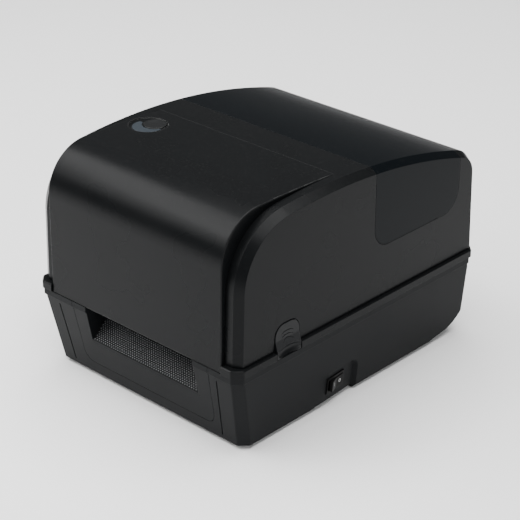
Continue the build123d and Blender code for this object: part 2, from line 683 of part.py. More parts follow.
def guide_slot(side, y0, y1):
    """Slot in the tray floor for the foot of a media guide."""
    near = GUIDE_OPEN - GUIDE_TRAVEL - 1
    far = GUIDE_OPEN + GUIDE_THICK + 1
    x0, x1 = sorted((side * near, side * far))
    return box(x0, x1, y0, y1, FLOOR_Z, ROLL_Z)


RACK_PITCH_R = RACK_MODULE * RACK_TEETH / 2
RIGHT_RACK_Y = ROLL_Y - RACK_PITCH_R
LEFT_RACK_Y = ROLL_Y + RACK_PITCH_R
RACK_DEEP = 5.0
WEB = 3.0
TRAY_POST_Y = 22.0       # posts under the bay, before and behind the roll's axis


def media_tray():
    """Deck, round bay for the label roll and rear deck in one moulding."""
    outer = slab_x(tray_profile(WALL), -TRAY_HALF - WALL, TRAY_HALF + WALL)
    inner = slab_x(tray_profile(0), -TRAY_HALF, TRAY_HALF)
    open_ends = box(-TRAY_HALF, TRAY_HALF, DECK_FRONT - 5, PORT_Y + 9, DECK_Z, FAR)
    tray = (outer & box(-FAR, FAR, -FAR, FAR, 0, TRAY_RIM)) - inner - (open_ends & box(
        -FAR, FAR, -FAR, FAR, DECK_Z, FAR))
    tray -= guide_slot(1, RIGHT_RACK_Y - RACK_DEEP - FREE, RIGHT_RACK_Y - RACK_DEEP + WEB + FREE)
    tray -= guide_slot(-1, LEFT_RACK_Y + RACK_DEEP - WEB - FREE, LEFT_RACK_Y + RACK_DEEP + FREE)
    half = SENSOR_TRAVEL + 10
    tray -= box(-half, half, SENSOR_Y - 5, SENSOR_Y + 5, DECK_Z - WALL - 1, DECK_Z + 1)
    post_top = ROLL_Z - ((BAY_R + WALL) ** 2 - TRAY_POST_Y ** 2) ** 0.5 + 1.2
    for x in (-64, 64):
        for y in (ROLL_Y - TRAY_POST_Y, ROLL_Y + TRAY_POST_Y):
            tray += rod_z(3.5, FLOOR_Z, post_top, x, y)
    for x in (-TRAY_HALF + 4, TRAY_HALF - 4):
        tray += rod_z(3.5, FLOOR_Z, DECK_Z - WALL + 0.5, x, ROLL_Y - BAY_R - 13)
    return tray


def frame_outline():
    """Side view of a platen frame: tall in front, low under the deck."""
    return outline((FRAME_FRONT, FLOOR_Z), (FRAME_REAR, FLOOR_Z), (FRAME_REAR, DECK_Z - WALL - 3),
                   (DECK_FRONT - 1.5, DECK_Z - WALL - 3), (DECK_FRONT - 1.5, PLATEN_Z + PLATEN_R),
                   (FRAME_FRONT, PLATEN_Z + PLATEN_R))


BUSH_R = 6.0


def platen_frame(side):
    """Sheet-steel frame with a bent foot; the left one also carries the motor."""
    x0 = FRAME_X
    x1 = FRAME_X + FRAME_THICK
    plate = slab_x(frame_outline(), x0, x1)
    foot = box(x0, x1 + 10, FRAME_FRONT + 8, FRAME_REAR, FLOOR_Z, FLOOR_Z + FRAME_THICK)
    plate += foot
    plate -= rod_x(BUSH_R, x0 - 1, x1 + 1, PLATEN_Y, PLATEN_Z)
    if side < 0:
        plate = mirrored(plate)
        plate -= rod_x(11.2, -x1 - 1, -x0 + 1, MOTOR_Y, MOTOR_Z)
        plate -= rod_x(2.0, -x1 - 1, -x0 + 1, IDLER_Y, IDLER_Z)
    return plate


def platen_bushes():
    """Plastic bushes of the platen shaft, collared on the outside."""
    bushes = []
    for side in (-1, 1):
        x0, x1 = sorted((side * FRAME_X, side * (FRAME_X + FRAME_THICK)))
        c0, c1 = sorted((side * (FRAME_X + FRAME_THICK), side * (FRAME_X + FRAME_THICK + 1.5)))
        bush = rod_x(BUSH_R, x0, x1, PLATEN_Y, PLATEN_Z) + rod_x(BUSH_R + 1.2, c0, c1, PLATEN_Y, PLATEN_Z)
        bushes.append(bush - rod_x(SHAFT_R + RUN, -FAR, FAR, PLATEN_Y, PLATEN_Z))
    return group(*bushes)


def platen_shaft():
    shaft = rod_x(SHAFT_R, GEAR_X - GEAR_WIDE - 1.5, FRAME_X + FRAME_THICK + 4, PLATEN_Y, PLATEN_Z)
    return chamfer(shaft.edges(), 0.4)


def platen_roller():
    roller = rod_x(PLATEN_R, -PLATEN_HALF, PLATEN_HALF, PLATEN_Y, PLATEN_Z)
    roller = chamfer(roller.edges(), 0.5)
    return roller - rod_x(SHAFT_R, -FAR, FAR, PLATEN_Y, PLATEN_Z)


def train_gear(teeth, phase, y, z, bore, hub):
    """A gear of the platen train with a thin web between rim and hub."""
    gear = slab_x(Pos(y, z) * gear_face(teeth, GEAR_MODULE, phase), GEAR_X - GEAR_WIDE, GEAR_X)
    rim = GEAR_MODULE * (teeth / 2 - 1.25) - 1.8
    if rim > hub + 1:
        pocket = Pos(y, z) * (Circle(rim) - Circle(hub))
        gear -= slab_x(pocket, GEAR_X - 1.5, GEAR_X)
        gear -= slab_x(pocket, GEAR_X - GEAR_WIDE, GEAR_X - GEAR_WIDE + 1.5)
    return gear - rod_x(bore, -FAR, FAR, y, z)


def platen_gear():
    return train_gear(PLATEN_TEETH, PLATEN_PHASE, PLATEN_Y, PLATEN_Z, SHAFT_R, 6.0)


def idler_gear():
    return train_gear(IDLER_TEETH, IDLER_PHASE, IDLER_Y, IDLER_Z, 2.0 + RUN, 4.5)


def idler_post():
    """Shouldered steel post that the idler turns on, with its clip."""
    post = rod_x(2.0, GEAR_X - GEAR_WIDE - 2.0, -FRAME_X, IDLER_Y, IDLER_Z)
    post += rod_x(4.0, GEAR_X + 0.3, -FRAME_X - FRAME_THICK, IDLER_Y, IDLER_Z)
    return post + rod_x(3.4, GEAR_X - GEAR_WIDE - 1.3, GEAR_X - GEAR_WIDE - 0.5, IDLER_Y, IDLER_Z)


MOTOR_SHAFT_R = 2.5


def motor_pinion():
    gear = slab_x(Pos(MOTOR_Y, MOTOR_Z) * gear_face(PINION_TEETH, GEAR_MODULE, PINION_PHASE),
                  GEAR_X - GEAR_WIDE, GEAR_X)
    gear += rod_x(4.6, GEAR_X, GEAR_X + 2, MOTOR_Y, MOTOR_Z)
    return gear - rod_x(MOTOR_SHAFT_R, -FAR, FAR, MOTOR_Y, MOTOR_Z)


def motor_shaft():
    return rod_x(MOTOR_SHAFT_R, GEAR_X - GEAR_WIDE - 1, -FRAME_X + 4, MOTOR_Y, MOTOR_Z)


def stepper_motor():
    """Square stepper with cut corners, end caps and a round pilot."""
    half = MOTOR_SIZE / 2
    square = Pos(MOTOR_Y, MOTOR_Z) * cut_rect(half, -half, half, 4.0)
    x0 = -FRAME_X
    motor = slab_x(square, x0, x0 + 8) + slab_x(square, x0 + MOTOR_LONG - 8, x0 + MOTOR_LONG)
    core = Pos(MOTOR_Y, MOTOR_Z) * cut_rect(half - 0.8, -half + 0.8, half - 0.8, 5.0)
    motor += slab_x(core, x0 + 8, x0 + MOTOR_LONG - 8)
    motor += rod_x(11.0, x0 - 1.9, x0, MOTOR_Y, MOTOR_Z)
    motor += box(x0 + MOTOR_LONG - 8, x0 + MOTOR_LONG - 1, MOTOR_Y + half, MOTOR_Y + half + 4,
                 MOTOR_Z - 8, MOTOR_Z + 8)
    return motor - rod_x(MOTOR_SHAFT_R + RUN, x0 - 3, x0 + 5, MOTOR_Y, MOTOR_Z)


def tear_bar():
    """Steel tear bar with a saw-tooth edge, held between the frames."""
    pitch = 2.0
    count = int(2 * (FRAME_X - 6) / pitch)
    start = -count * pitch / 2
    edge = []
    for tooth in range(count):
        x = start + tooth * pitch
        edge += [(x, TEAR_HIGH - 1.0), (x + pitch / 2, TEAR_HIGH)]
    edge.append((start + count * pitch, TEAR_HIGH - 1.0))
    face = outline((-FRAME_X, TEAR_LOW), (-FRAME_X, TEAR_HIGH - 1.0), *edge,
                   (FRAME_X, TEAR_HIGH - 1.0), (FRAME_X, TEAR_LOW))
    blade = slab_y(face, TEAR_Y, TEAR_Y + TEAR_THICK)
    lip = box(-FRAME_X, FRAME_X, TEAR_Y - TEAR_LIP, TEAR_Y, TEAR_LOW, TEAR_LOW + TEAR_THICK)
    tab = box(FRAME_X - 1.2, FRAME_X, TEAR_Y + TEAR_THICK, TEAR_Y + 5, TEAR_LOW, TEAR_LOW + 6)
    return blade + lip + tab + mirrored(tab)


# ---------------------------------------------------------------- media guides and label sensor
def rack_bar(y_teeth, away, x0, x1):
    """Toothed bar along X; its teeth face the pinion and away points the other way."""
    pitch = pi * RACK_MODULE
    tip = y_teeth - away * RACK_MODULE
    root = y_teeth + away * 1.25 * RACK_MODULE
    back = y_teeth + away * RACK_DEEP
    slope = tan(radians(20)) * RACK_MODULE
    half = pitch / 4 - 0.08
    points = [(x0, back), (x0, root)]
    first = int(x0 / pitch) - 1
    for tooth in range(first, first + int((x1 - x0) / pitch) + 4):
        middle = tooth * pitch
        if middle - half - 1.25 * slope < x0 + 0.2 or middle + half + 1.25 * slope > x1 - 0.2:
            continue
        points += [(middle - half - 1.25 * slope, root), (middle - half + slope, tip),
                   (middle + half - slope, tip), (middle + half + 1.25 * slope, root)]
    points += [(x1, root), (x1, back)]
    return slab_z(outline(*points), RACK_Z, RACK_Z + RACK_TALL)


def media_guide(side):
    """Media guide: a round plate with a core hub, a foot and a rack under the tray."""
    inner = side * GUIDE_OPEN
    outer = side * (GUIDE_OPEN + GUIDE_THICK)
    x0, x1 = sorted((inner, outer))
    y_pitch = RIGHT_RACK_Y if side > 0 else LEFT_RACK_Y
    back = y_pitch - side * RACK_DEEP
    y0, y1 = sorted((back, back + side * WEB))
    floor = ROLL_Z - (BAY_R ** 2 - (y_pitch - ROLL_Y) ** 2) ** 0.5
    plate = slab_x(Pos(ROLL_Y, ROLL_Z) * Circle(GUIDE_R), x0, x1)
    plate -= slab_x(Pos(ROLL_Y, ROLL_Z + 8) * Circle(5), x0, x1)
    stem = outline((ROLL_Y - 14, ROLL_Z - 16), (ROLL_Y + 14, ROLL_Z - 16), (ROLL_Y + 20, floor + 3),
                   (ROLL_Y - 20, floor + 3))
    plate += slab_x(stem, x0, x1)
    hub0, hub1 = sorted((inner - side * HUB_LONG, inner))
    hub = slab_x(Pos(ROLL_Y, ROLL_Z) * (Circle(HUB_R) - Circle(HUB_R - 2)), hub0, hub1)
    plate += hub
    web = box(x0, x1, y0, y1, RACK_Z, floor + 6)
    rack0, rack1 = sorted((side * (GUIDE_OPEN + GUIDE_THICK), -side * 12))
    rack = rack_bar(y_pitch, -side, rack0, rack1)
    return plate + web + rack


def guide_pinion():
    """Pinion that makes the two media guides close evenly."""
    face = Pos(0, ROLL_Y) * gear_face(RACK_TEETH, RACK_MODULE, 90 + 180 / RACK_TEETH)
    gear = slab_z(face, RACK_Z, RACK_Z + RACK_TALL)
    return gear - rod_z(2.5 + RUN, 0, 30, 0, ROLL_Y)


def pinion_post():
    post = rod_z(2.5, FLOOR_Z, RACK_Z + RACK_TALL + 2, 0, ROLL_Y)
    post += rod_z(5.0, FLOOR_Z, RACK_Z - 0.4, 0, ROLL_Y)
    return post + rod_z(3.4, RACK_Z + RACK_TALL + 0.5, RACK_Z + RACK_TALL + 1.3, 0, ROLL_Y)


def gear_posts():
    return group(idler_post(), pinion_post())


SENSOR_ROD_Z = DECK_Z - 6.5
SENSOR_ROD_R = 2.5


def sensor_rod():
    """Steel rod between the platen frames that the label sensor slides on."""
    return rod_x(SENSOR_ROD_R, -TRAY_HALF + 9, TRAY_HALF - 9, SENSOR_Y, SENSOR_ROD_Z)


def sensor_brackets():
    """Hangers under the deck that hold the sensor rod."""
    brackets = []
    for x in (-TRAY_HALF + 9, TRAY_HALF - 11.5):
        plate = box(x, x + 2.5, SENSOR_Y - 6, SENSOR_Y + 6, SENSOR_ROD_Z - 6, DECK_Z - WALL)
        brackets.append(plate - rod_x(SENSOR_ROD_R, -FAR, FAR, SENSOR_Y, SENSOR_ROD_Z))
    return group(*brackets)


def sensor_carriage():
    """Sliding label sensor: body round the rod, window flush with the deck."""
    body = box(-7, 7, SENSOR_Y - 4.5, SENSOR_Y + 4.5, SENSOR_ROD_Z - 5, DECK_Z)
    body = fillet(body.edges().filter_by(Axis.Z), 1.0)
    body -= rod_x(SENSOR_ROD_R + RUN, -10, 10, SENSOR_Y, SENSOR_ROD_Z)
    return body - box(-2, 2, SENSOR_Y - 1.5, SENSOR_Y + 1.5, DECK_Z - 1.0, DECK_Z + 1)


# ---------------------------------------------------------------- electronics
def port_cut(x, half_w, half_h):
    return box(x - half_w, x + half_w, PORT_Y - 10, PORT_Y + 10, PORT_Z - half_h, PORT_Z + half_h)


JACK_HALF = 5.0
USB_W = 6.0
USB_H = 5.4
NET_W = 8.0
NET_H = 6.8


def port_plate():
    """Recessed connector plate with a collar that meets the rear wall."""
    gap = SEAM
    x0 = PORT_LEFT + gap
    x1 = PORT_RIGHT - gap
    z0 = PORT_LOW + gap
    z1 = PORT_HIGH - gap
    plate = box(x0, x1, PORT_Y - 2, FAR, z0, z1) & BASE_OUT
    plate -= box(x0 + 1.6, x1 - 1.6, PORT_Y, FAR, z0 + 1.6, z1 - 1.6)
    plate += box(x0 - 3, x1 + 3, PORT_Y - 2, PORT_Y - 0.5, z0 - 3, z1 + 3) & BASE_IN
    plate -= port_cut(JACK_X, JACK_HALF + 0.2, JACK_HALF + 0.2)
    plate -= port_cut(USB_X, USB_W + 0.2, USB_H + 0.2)
    return plate - port_cut(NET_X, NET_W + 0.2, NET_H + 0.2)


def main_board():
    """Main circuit board, standing behind the media bay."""
    board = box(-72, 72, BOARD_Y - BOARD_THICK, BOARD_Y, BOARD_LOW, DECK_Z - TAIL_DROP - WALL - FREE)
    board &= BASE_IN
    for x in (-66, 66):
        for z in (24, 48):
            board -= rod_y(1.7, BOARD_Y - 4, BOARD_Y + 2, x, z)
    return board


def board_posts():
    """Standoffs with screws between board and rear wall."""
    posts = []
    for x in (-66, 66):
        for z in (24, 48):
            stand = rod_y(3.5, BOARD_Y, BOARD_Y + 9, x, z)
            screw = rod_y(1.7, BOARD_Y - BOARD_THICK, BOARD_Y, x, z)
            head = rod_y(3.0, BOARD_Y - BOARD_THICK - 2, BOARD_Y - BOARD_THICK, x, z)
            posts.append(stand + screw + head)
    return group(*posts)


def board_parts():
    """Processor, memory, drivers and capacitors on the rear side of the board."""
    chips = [(30, 36, 7, 7, 1.6), (46, 38, 5, 4, 1.2), (30, 24, 4, 2.5, 1.2), (46, 26, 4, 4, 2.4)]
    solids = [box(x - w, x + w, BOARD_Y, BOARD_Y + t, z - h, z + h) for x, z, w, h, t in chips]
    for x in (22, 56):
        solids.append(rod_y(3.2, BOARD_Y, BOARD_Y + 8, x, 47))
    return group(*solids)


def dc_jack():
    """Round power inlet with its centre pin."""
    body = box(JACK_X - JACK_HALF, JACK_X + JACK_HALF, BOARD_Y, PORT_Y + 1.2,
               PORT_Z - JACK_HALF, PORT_Z + JACK_HALF)
    body -= rod_y(3.2, PORT_Y - 8, PORT_Y + 5, JACK_X, PORT_Z)
    return body + rod_y(1.0, PORT_Y - 9, PORT_Y, JACK_X, PORT_Z)


def usb_port():
    """Square device port with its inner tongue."""
    shell = box(USB_X - USB_W, USB_X + USB_W, BOARD_Y, PORT_Y + 1.0, PORT_Z - USB_H, PORT_Z + USB_H)
    shell -= box(USB_X - 4.3, USB_X + 4.3, PORT_Y - 8, PORT_Y + 3, PORT_Z - 3.9, PORT_Z + 3.9)
    return shell + box(USB_X - 2.8, USB_X + 2.8, PORT_Y - 9, PORT_Y - 0.5, PORT_Z - 1.6, PORT_Z + 1.6)


def network_port():
    """Network socket with its latch notch."""
    shell = box(NET_X - NET_W, NET_X + NET_W, BOARD_Y, PORT_Y + 1.0, PORT_Z - NET_H, PORT_Z + NET_H)
    shell -= box(NET_X - 6, NET_X + 6, PORT_Y - 9, PORT_Y + 3, PORT_Z - 4.2, PORT_Z + 3.4)
    return shell - box(NET_X - 2, NET_X + 2, PORT_Y - 9, PORT_Y + 3, PORT_Z + 3.4, PORT_Z + 5.2)


# ---------------------------------------------------------------- power switch
SWITCH_RIM = 1.1
ROCKER_PIVOT = 2.0       # pivot below the recess floor
ROCKER_HALF = SWITCH_LONG / 2 - 2.0
ROCKER_WIDE = SWITCH_TALL / 2 - 2.1      # half the opening for the rocker, along its pivot
ROCKER_PIN_R = 1.2


def switch_housing():
    """Snap-in rocker switch body with its rim and two spade terminals."""
    hole_x = SWITCH_LONG / 2 - 1.2 - 0.1
    hole_y = SWITCH_TALL / 2 - 1.0 - 0.1
    rim = local_box(SWITCH, -SWITCH_LONG / 2, SWITCH_LONG / 2, -SWITCH_TALL / 2, SWITCH_TALL / 2,
                    0, SWITCH_RIM)
    body = local_box(SWITCH, -hole_x, hole_x, -hole_y, hole_y, -13, 0.1)
    housing = rim + body
    housing -= local_box(SWITCH, -ROCKER_HALF - 0.5, ROCKER_HALF + 0.5, -ROCKER_WIDE, ROCKER_WIDE, -9, 5)
    housing -= rocker_pivot(ROCKER_PIN_R + RUN, hole_y)
    for x in (-4.5, 4.5):
        housing += local_box(SWITCH, x - 0.4, x + 0.4, -2.4, 2.4, -20, -12)
    return housing


def rocker_pivot(radius, half):
    """Cylinder on the rocker's axis."""
    at = Plane(origin=SWITCH.origin - SWITCH.z_dir * ROCKER_PIVOT, x_dir=SWITCH.x_dir, z_dir=SWITCH.y_dir)
    return at * Cylinder(radius, 2 * half)


def rocker_face():
    """The rocker seen along its pivot at half throw: a shallow V with a tapered belly."""
    half = ROCKER_HALF - 0.3
    return outline((-half, 2.4), (-half, 4.9), (0, 3.6), (half, 4.9), (half, 2.4), (3.2, -2.6), (-3.2, -2.6))


def power_rocker():
    """Rocker with its two pivot pins, thrown to its rear end."""
    half = ROCKER_WIDE - 0.3
    tilted = Rot(0, 0, ROCKER_TILT) * rocker_face()
    drawn = Plane(origin=SWITCH.origin - SWITCH.z_dir * ROCKER_PIVOT, x_dir=SWITCH.x_dir,
                  z_dir=-SWITCH.y_dir)
    rocker = extrude(drawn.offset(-half) * tilted, 2 * half, dir=-SWITCH.y_dir)
    return rocker + rocker_pivot(ROCKER_PIN_R, ROCKER_WIDE + 0.8)


# ---------------------------------------------------------------- hinge
def hinge_brackets():
    """Steel hinge halves on the base: a leaf inside the rear wall and two knuckles."""
    halves = []
    for sign in (-1, 1):
        x = sign * HINGE_X
        leaf_y = RIM_REAR - RIM_STEP - FLARE_REAR - WALL - 0.2
        half = rod_x(KNUCKLE_R, x - HINGE_HALF, x + HINGE_HALF, HINGE_Y, HINGE_Z)
        half += box(x - HINGE_HALF, x + HINGE_HALF, leaf_y - LEAF, leaf_y, NOTCH_Z - 16, HINGE_Z)
        half -= box(x - LID_KNUCKLE_HALF - FREE, x + LID_KNUCKLE_HALF + FREE, HINGE_Y - 9, HINGE_Y + 9,
                    HINGE_Z - 6, HINGE_Z + 6)
        halves.append(half - rod_x(HINGE_PIN_R, -FAR, FAR, HINGE_Y, HINGE_Z))
    return group(*halves)


def hinge_pins():
    pins = []
    for sign in (-1, 1):
        x = sign * HINGE_X
        pin = rod_x(HINGE_PIN_R, x - HINGE_HALF - 0.5, x + HINGE_HALF + 0.5, HINGE_Y, HINGE_Z)
        pins.append(chamfer(pin.edges(), 0.3))
    return group(*pins)


def lid_hinge_leaves():
    """Lid halves of the hinges: one knuckle each, with a leaf let into the ledge."""
    halves = []
    for sign in (-1, 1):
        x = sign * HINGE_X
        half = rod_x(KNUCKLE_R, x - LID_KNUCKLE_HALF, x + LID_KNUCKLE_HALF, HINGE_Y, HINGE_Z)
        half += box(x - LID_KNUCKLE_HALF, x + LID_KNUCKLE_HALF, HINGE_Y - KNUCKLE_R, HINGE_Y + KNUCKLE_R,
                    HINGE_Z, LEDGE_LOW + LEAF)
        half += box(x - HINGE_HALF, x + HINGE_HALF, HINGE_Y - 9, HINGE_Y + KNUCKLE_R,
                    LEDGE_LOW, LEDGE_LOW + LEAF)
        halves.append(half - rod_x(HINGE_PIN_R + RUN, -FAR, FAR, HINGE_Y, HINGE_Z))
    return group(*halves)


# ---------------------------------------------------------------- lid mouldings
LEDGE_INNER_X = HALF_WIDTH - 21
LEDGE_INNER_FRONT = 15 - HALF_DEPTH
LEDGE_INNER_REAR = HALF_DEPTH - 16
LID_SCREW_X = HALF_WIDTH - 13
LID_SCREW_PLACES = [(x, y) for y in (92 - HALF_DEPTH, HALF_DEPTH - 82, HALF_DEPTH - 42)
                    for x in (-LID_SCREW_X, LID_SCREW_X)]


def lid_frame():
    """Ledge frame of the lid: a flat ring that the cover and the print module stand on."""
    ring = slab_z(cut_rect(HALF_WIDTH, -HALF_DEPTH, HALF_DEPTH, CORNER, CORNER_SOFT), LEDGE_LOW, LEDGE_TOP)
    outer = ring.edges().group_by(Axis.Z)[-1]
    ring = chamfer(outer, 0.8)
    ring -= box(-LEDGE_INNER_X, LEDGE_INNER_X, LEDGE_INNER_FRONT, LEDGE_INNER_REAR, 0, FAR)
    ring -= box(-PANEL_HALF - SEAM, PANEL_HALF + SEAM, -FAR, COVER_FRONT + WALL + SEAM, 0, FAR)
    ring -= latch_opening(LATCH_PIVOT_X - 7.5, FAR, LEDGE_LOW - 5)
    for x, y in LID_SCREW_PLACES:
        ring -= rod_z(3.1, LEDGE_LOW - 1, LEDGE_LOW + 1.8, x, y)
    for sign in (-1, 1):
        x = sign * HINGE_X
        ring -= box(x - HINGE_HALF, x + HINGE_HALF, HINGE_Y - 9, HINGE_Y + KNUCKLE_R,
                    LEDGE_LOW - 1, LEDGE_LOW + LEAF)
    return ring


def cover_shell():
    """Main cover: both sides, the roof strip, the rear frame and the rear wall."""
    shell = COVER_OUT - COVER_IN
    shell -= window_region(0)
    shell -= box(-PANEL_HALF - SEAM, PANEL_HALF + SEAM, -FAR, PANEL_REAR + SEAM, 0, FAR)
    return shell - latch_opening(LATCH_PIVOT_X - 9, FAR, 0)


def dish(radius, z0, z1):
    return rod_z(radius, z0, z1, DISH_X, DISH_Y)


def button_disc(radius, z0, z1):
    return rod_z(radius, z0, z1, BUTTON_X, BUTTON_Y)


def button_top():
    """Height of the panel's surface at the button."""
    drop = (BUTTON_Y - PANEL_CROWN_Y) ** 2 / (2 * PANEL_CROWN_R)
    return PANEL_TOP - drop


def light_face(grow):
    """Crescent of the status light in plan: a disc less the button, with its thin tips cut off."""
    outer = Pos(DISH_X + LIGHT_RIGHT, DISH_Y - LIGHT_AHEAD) * Circle(LIGHT_R + grow)
    inner = Pos(BUTTON_X, BUTTON_Y) * Circle(BUTTON_R + FREE + 0.5 - grow)
    tips = Pos(DISH_X, DISH_Y + LIGHT_END + grow + DISH_R) * Rectangle(4 * DISH_R, 2 * DISH_R)
    return outer - inner - tips


def centre_panel():
    """Raised centre panel: roof, bend and front of the lid in one skin."""
    skin = panel_body(0)
    rims = [e for e in skin.faces().filter_by(Axis.X).edges() if e.center().Z > LEDGE_LOW + 2]
    rims = [e for e in rims if e.center().Y < PANEL_REAR + 35 and e.bounding_box().max.Z > LEDGE_TOP]
    skin = fillet(rims, 0.9)
    panel = skin - panel_body(WALL) - slab_x(cover_outline(WALL), -FAR, FAR)
    panel &= box(-FAR, FAR, -FAR, PANEL_REAR, LEDGE_LOW, FAR)
    top = button_top()
    panel += dish(DISH_R + 1.5, top - DISH_DEEP - WALL - 1.2, top - 0.5)
    panel -= dish(DISH_R, top - DISH_DEEP, top + 5)
    panel -= button_disc(BUTTON_R + FREE, top - 30, top + 5)
    light = slab_z(light_face(0.1), top - 20, top + 5)
    return panel - light


def status_light():
    """Crescent light pipe round the feed button."""
    top = button_top() - DISH_DEEP
    return slab_z(light_face(0), top - WALL - 1.2, top + 0.5)


def feed_button():
    """Round feed button with its plunger."""
    top = button_top() - 0.2
    cap = button_disc(BUTTON_R, top - 3.0, top)
    cap = fillet(cap.edges().group_by(Axis.Z)[-1], 0.6)
    cap -= Pos(BUTTON_X, BUTTON_Y, top + 60) * Sphere(60.5)
    cap += button_disc(BUTTON_R + 1.6, top - 6.4, top - 5.4)
    cap += button_disc(BUTTON_R - 1.5, top - 5.5, top - 2.8)
    return cap + button_disc(3.0, BUTTON_STACK, top - 5.5)


BUTTON_BOARD_Z = button_top() - 13.94
BUTTON_STACK = BUTTON_BOARD_Z + 1.6 + 3.5 + BUTTON_TRAVEL + 0.3


def button_board():
    """Small board under the panel with the push switch, on two hangers."""
    board = box(DISH_X - 14, DISH_X + 14, DISH_Y - 14, DISH_Y + 14, BUTTON_BOARD_Z, BUTTON_BOARD_Z + 1.6)
    board += box(BUTTON_X - 3, BUTTON_X + 3, BUTTON_Y - 3, BUTTON_Y + 3, BUTTON_BOARD_Z + 1.6,
                 BUTTON_BOARD_Z + 3.9)
    board += rod_z(1.7, BUTTON_BOARD_Z + 3.9, BUTTON_BOARD_Z + 5.1, BUTTON_X, BUTTON_Y)
    reach = (DISH_R + 0.3) * cos(radians(45))
    for x in (DISH_X - reach, DISH_X + reach):
        board += rod_z(1.4, BUTTON_BOARD_Z + 1.6, button_top() - DISH_DEEP - WALL - 1.2, x, DISH_Y - reach)
    return board


def smoked_window():
    """Wrap-round smoked window with a hidden lip behind the cover."""
    sheet = (COVER_OUT - COVER_IN) & window_region(-SEAM)
    lip = (COVER_IN - cover_body(WALL + LIP_THICK)) & window_region(WINDOW_LIP)
    return sheet + (lip - window_region(-WINDOW_LIP))


# ---------------------------------------------------------------- latches
LATCH_EAR = 3.0
GRIP_ARC_UP = 6.1        # centre of the grip arcs above the latch's lower end
GRIP_ARC_RADII = (8.0, 11.0, 14.0)
HOOK_LOW = LATCH_LOW - 11.9
KEEPER_TOP = HOOK_LOW - 1.5
KEEPER_LOW = KEEPER_TOP - 12.5


def latch_body(side):
    """Side latch: outer grip with a finger scoop, pivot barrel and hook."""
    grip = slab_x(latch_cut(LATCH_HALF, LATCH_LOW, LATCH_TOP), LATCH_PIVOT_X - 2.0, HALF_WIDTH)
    front_view = outline((0, LATCH_LOW - 1), (HALF_WIDTH - 0.4, LATCH_LOW - 1),
                         (HALF_WIDTH - 0.2, LATCH_LOW + 2), (HALF_WIDTH - 0.2, LEDGE_TOP),
                         (COVER_HALF + 0.5, LEDGE_TOP + 8), (COVER_HALF, FAR), (0, FAR))
    grip &= slab_y(front_view, -FAR, FAR)
    scoop = Pos(HALF_WIDTH + 4.5, LATCH_Y, LATCH_LOW + 3.8) * scale(Sphere(1), (8.5, 15.4, 6.2))
    grip -= scoop
    barrel = rod_y(3.2, LATCH_Y - LATCH_HALF + 4, LATCH_Y + LATCH_HALF - 4, LATCH_PIVOT_X, LATCH_PIVOT_Z)
    hook = box(LATCH_PIVOT_X - 5.5, LATCH_PIVOT_X - 2.0, LATCH_Y - 6, LATCH_Y + 6, HOOK_LOW,
               LATCH_PIVOT_Z - 4)
    arm = box(LATCH_PIVOT_X - 5.5, LATCH_PIVOT_X, LATCH_Y - 6, LATCH_Y + 6, LATCH_PIVOT_Z - 9,
              LATCH_PIVOT_Z)
    latch = grip + barrel + hook + arm
    latch -= rod_y(LATCH_PIN_R + RUN, -FAR, FAR, LATCH_PIVOT_X, LATCH_PIVOT_Z)
    arc_z = LATCH_LOW + GRIP_ARC_UP
    arcs = []
    for radius in GRIP_ARC_RADII:
        low = arc_z + radius * 0.7
        window = outline((LATCH_Y - 6, low), (LATCH_Y + 6, low), (LATCH_Y + 6, LATCH_TOP),
                         (LATCH_Y - 6, LATCH_TOP))
        ring = Pos(LATCH_Y, arc_z) * (Circle(radius + 0.35) - Circle(radius - 0.35))
        arcs.append(slab_x(ring & window, LATCH_PIVOT_X - 3.2, FAR))
    skin = grip - (grip & Pos(-0.35, 0, 0) * grip)
    for arc in arcs:
        latch -= arc & skin
    return latch if side > 0 else mirrored(latch)


def latch_brackets():
    """Brackets on the ledge that hold the latch pins at both ends."""
    x0 = LATCH_PIVOT_X - 4.0
    x1 = COVER_HALF - WALL - 0.3
    end = LATCH_HALF + LATCH_GAP
    bracket = box(LEDGE_INNER_X + 1, x0 - 4, LATCH_Y - end - LATCH_EAR, LATCH_Y + end + LATCH_EAR,
                  LEDGE_TOP, LEDGE_TOP + 2.5)
    for y0 in (LATCH_Y - end - LATCH_EAR, LATCH_Y + end):
        ear = box(LEDGE_INNER_X + 1, x1, y0, y0 + LATCH_EAR, LEDGE_TOP, LATCH_PIVOT_Z + 4)
        bracket += ear
    bracket -= rod_y(LATCH_PIN_R, -FAR, FAR, LATCH_PIVOT_X, LATCH_PIVOT_Z)
    return group(bracket, mirrored(bracket))


def latch_pins():
    end = LATCH_HALF + LATCH_GAP + LATCH_EAR
    pin = rod_y(LATCH_PIN_R, LATCH_Y - end, LATCH_Y + end, LATCH_PIVOT_X, LATCH_PIVOT_Z)
    return group(pin, mirrored(pin))


def latch_keepers():
    """Catch blocks inside the base under the latch hooks."""
    x1 = wall_x(KEEPER_LOW) - WALL
    keeper = box(LATCH_PIVOT_X - 8, x1, LATCH_Y - 7, LATCH_Y + 7, KEEPER_LOW, KEEPER_TOP)
    keeper = keeper & BASE_IN
    return group(keeper, mirrored(keeper))


# ---------------------------------------------------------------- print module in the lid
def module_outline():
    """Side view of a print module side plate, drawn from the platen axis."""
    face = outline((-16, 12), (94, 12), (94, 50), (76, 86), (20, 105), (-10, 98), (-16, 80))
    return Pos(PLATEN_Y, PLATEN_Z) * fillet(face.vertices(), 5)


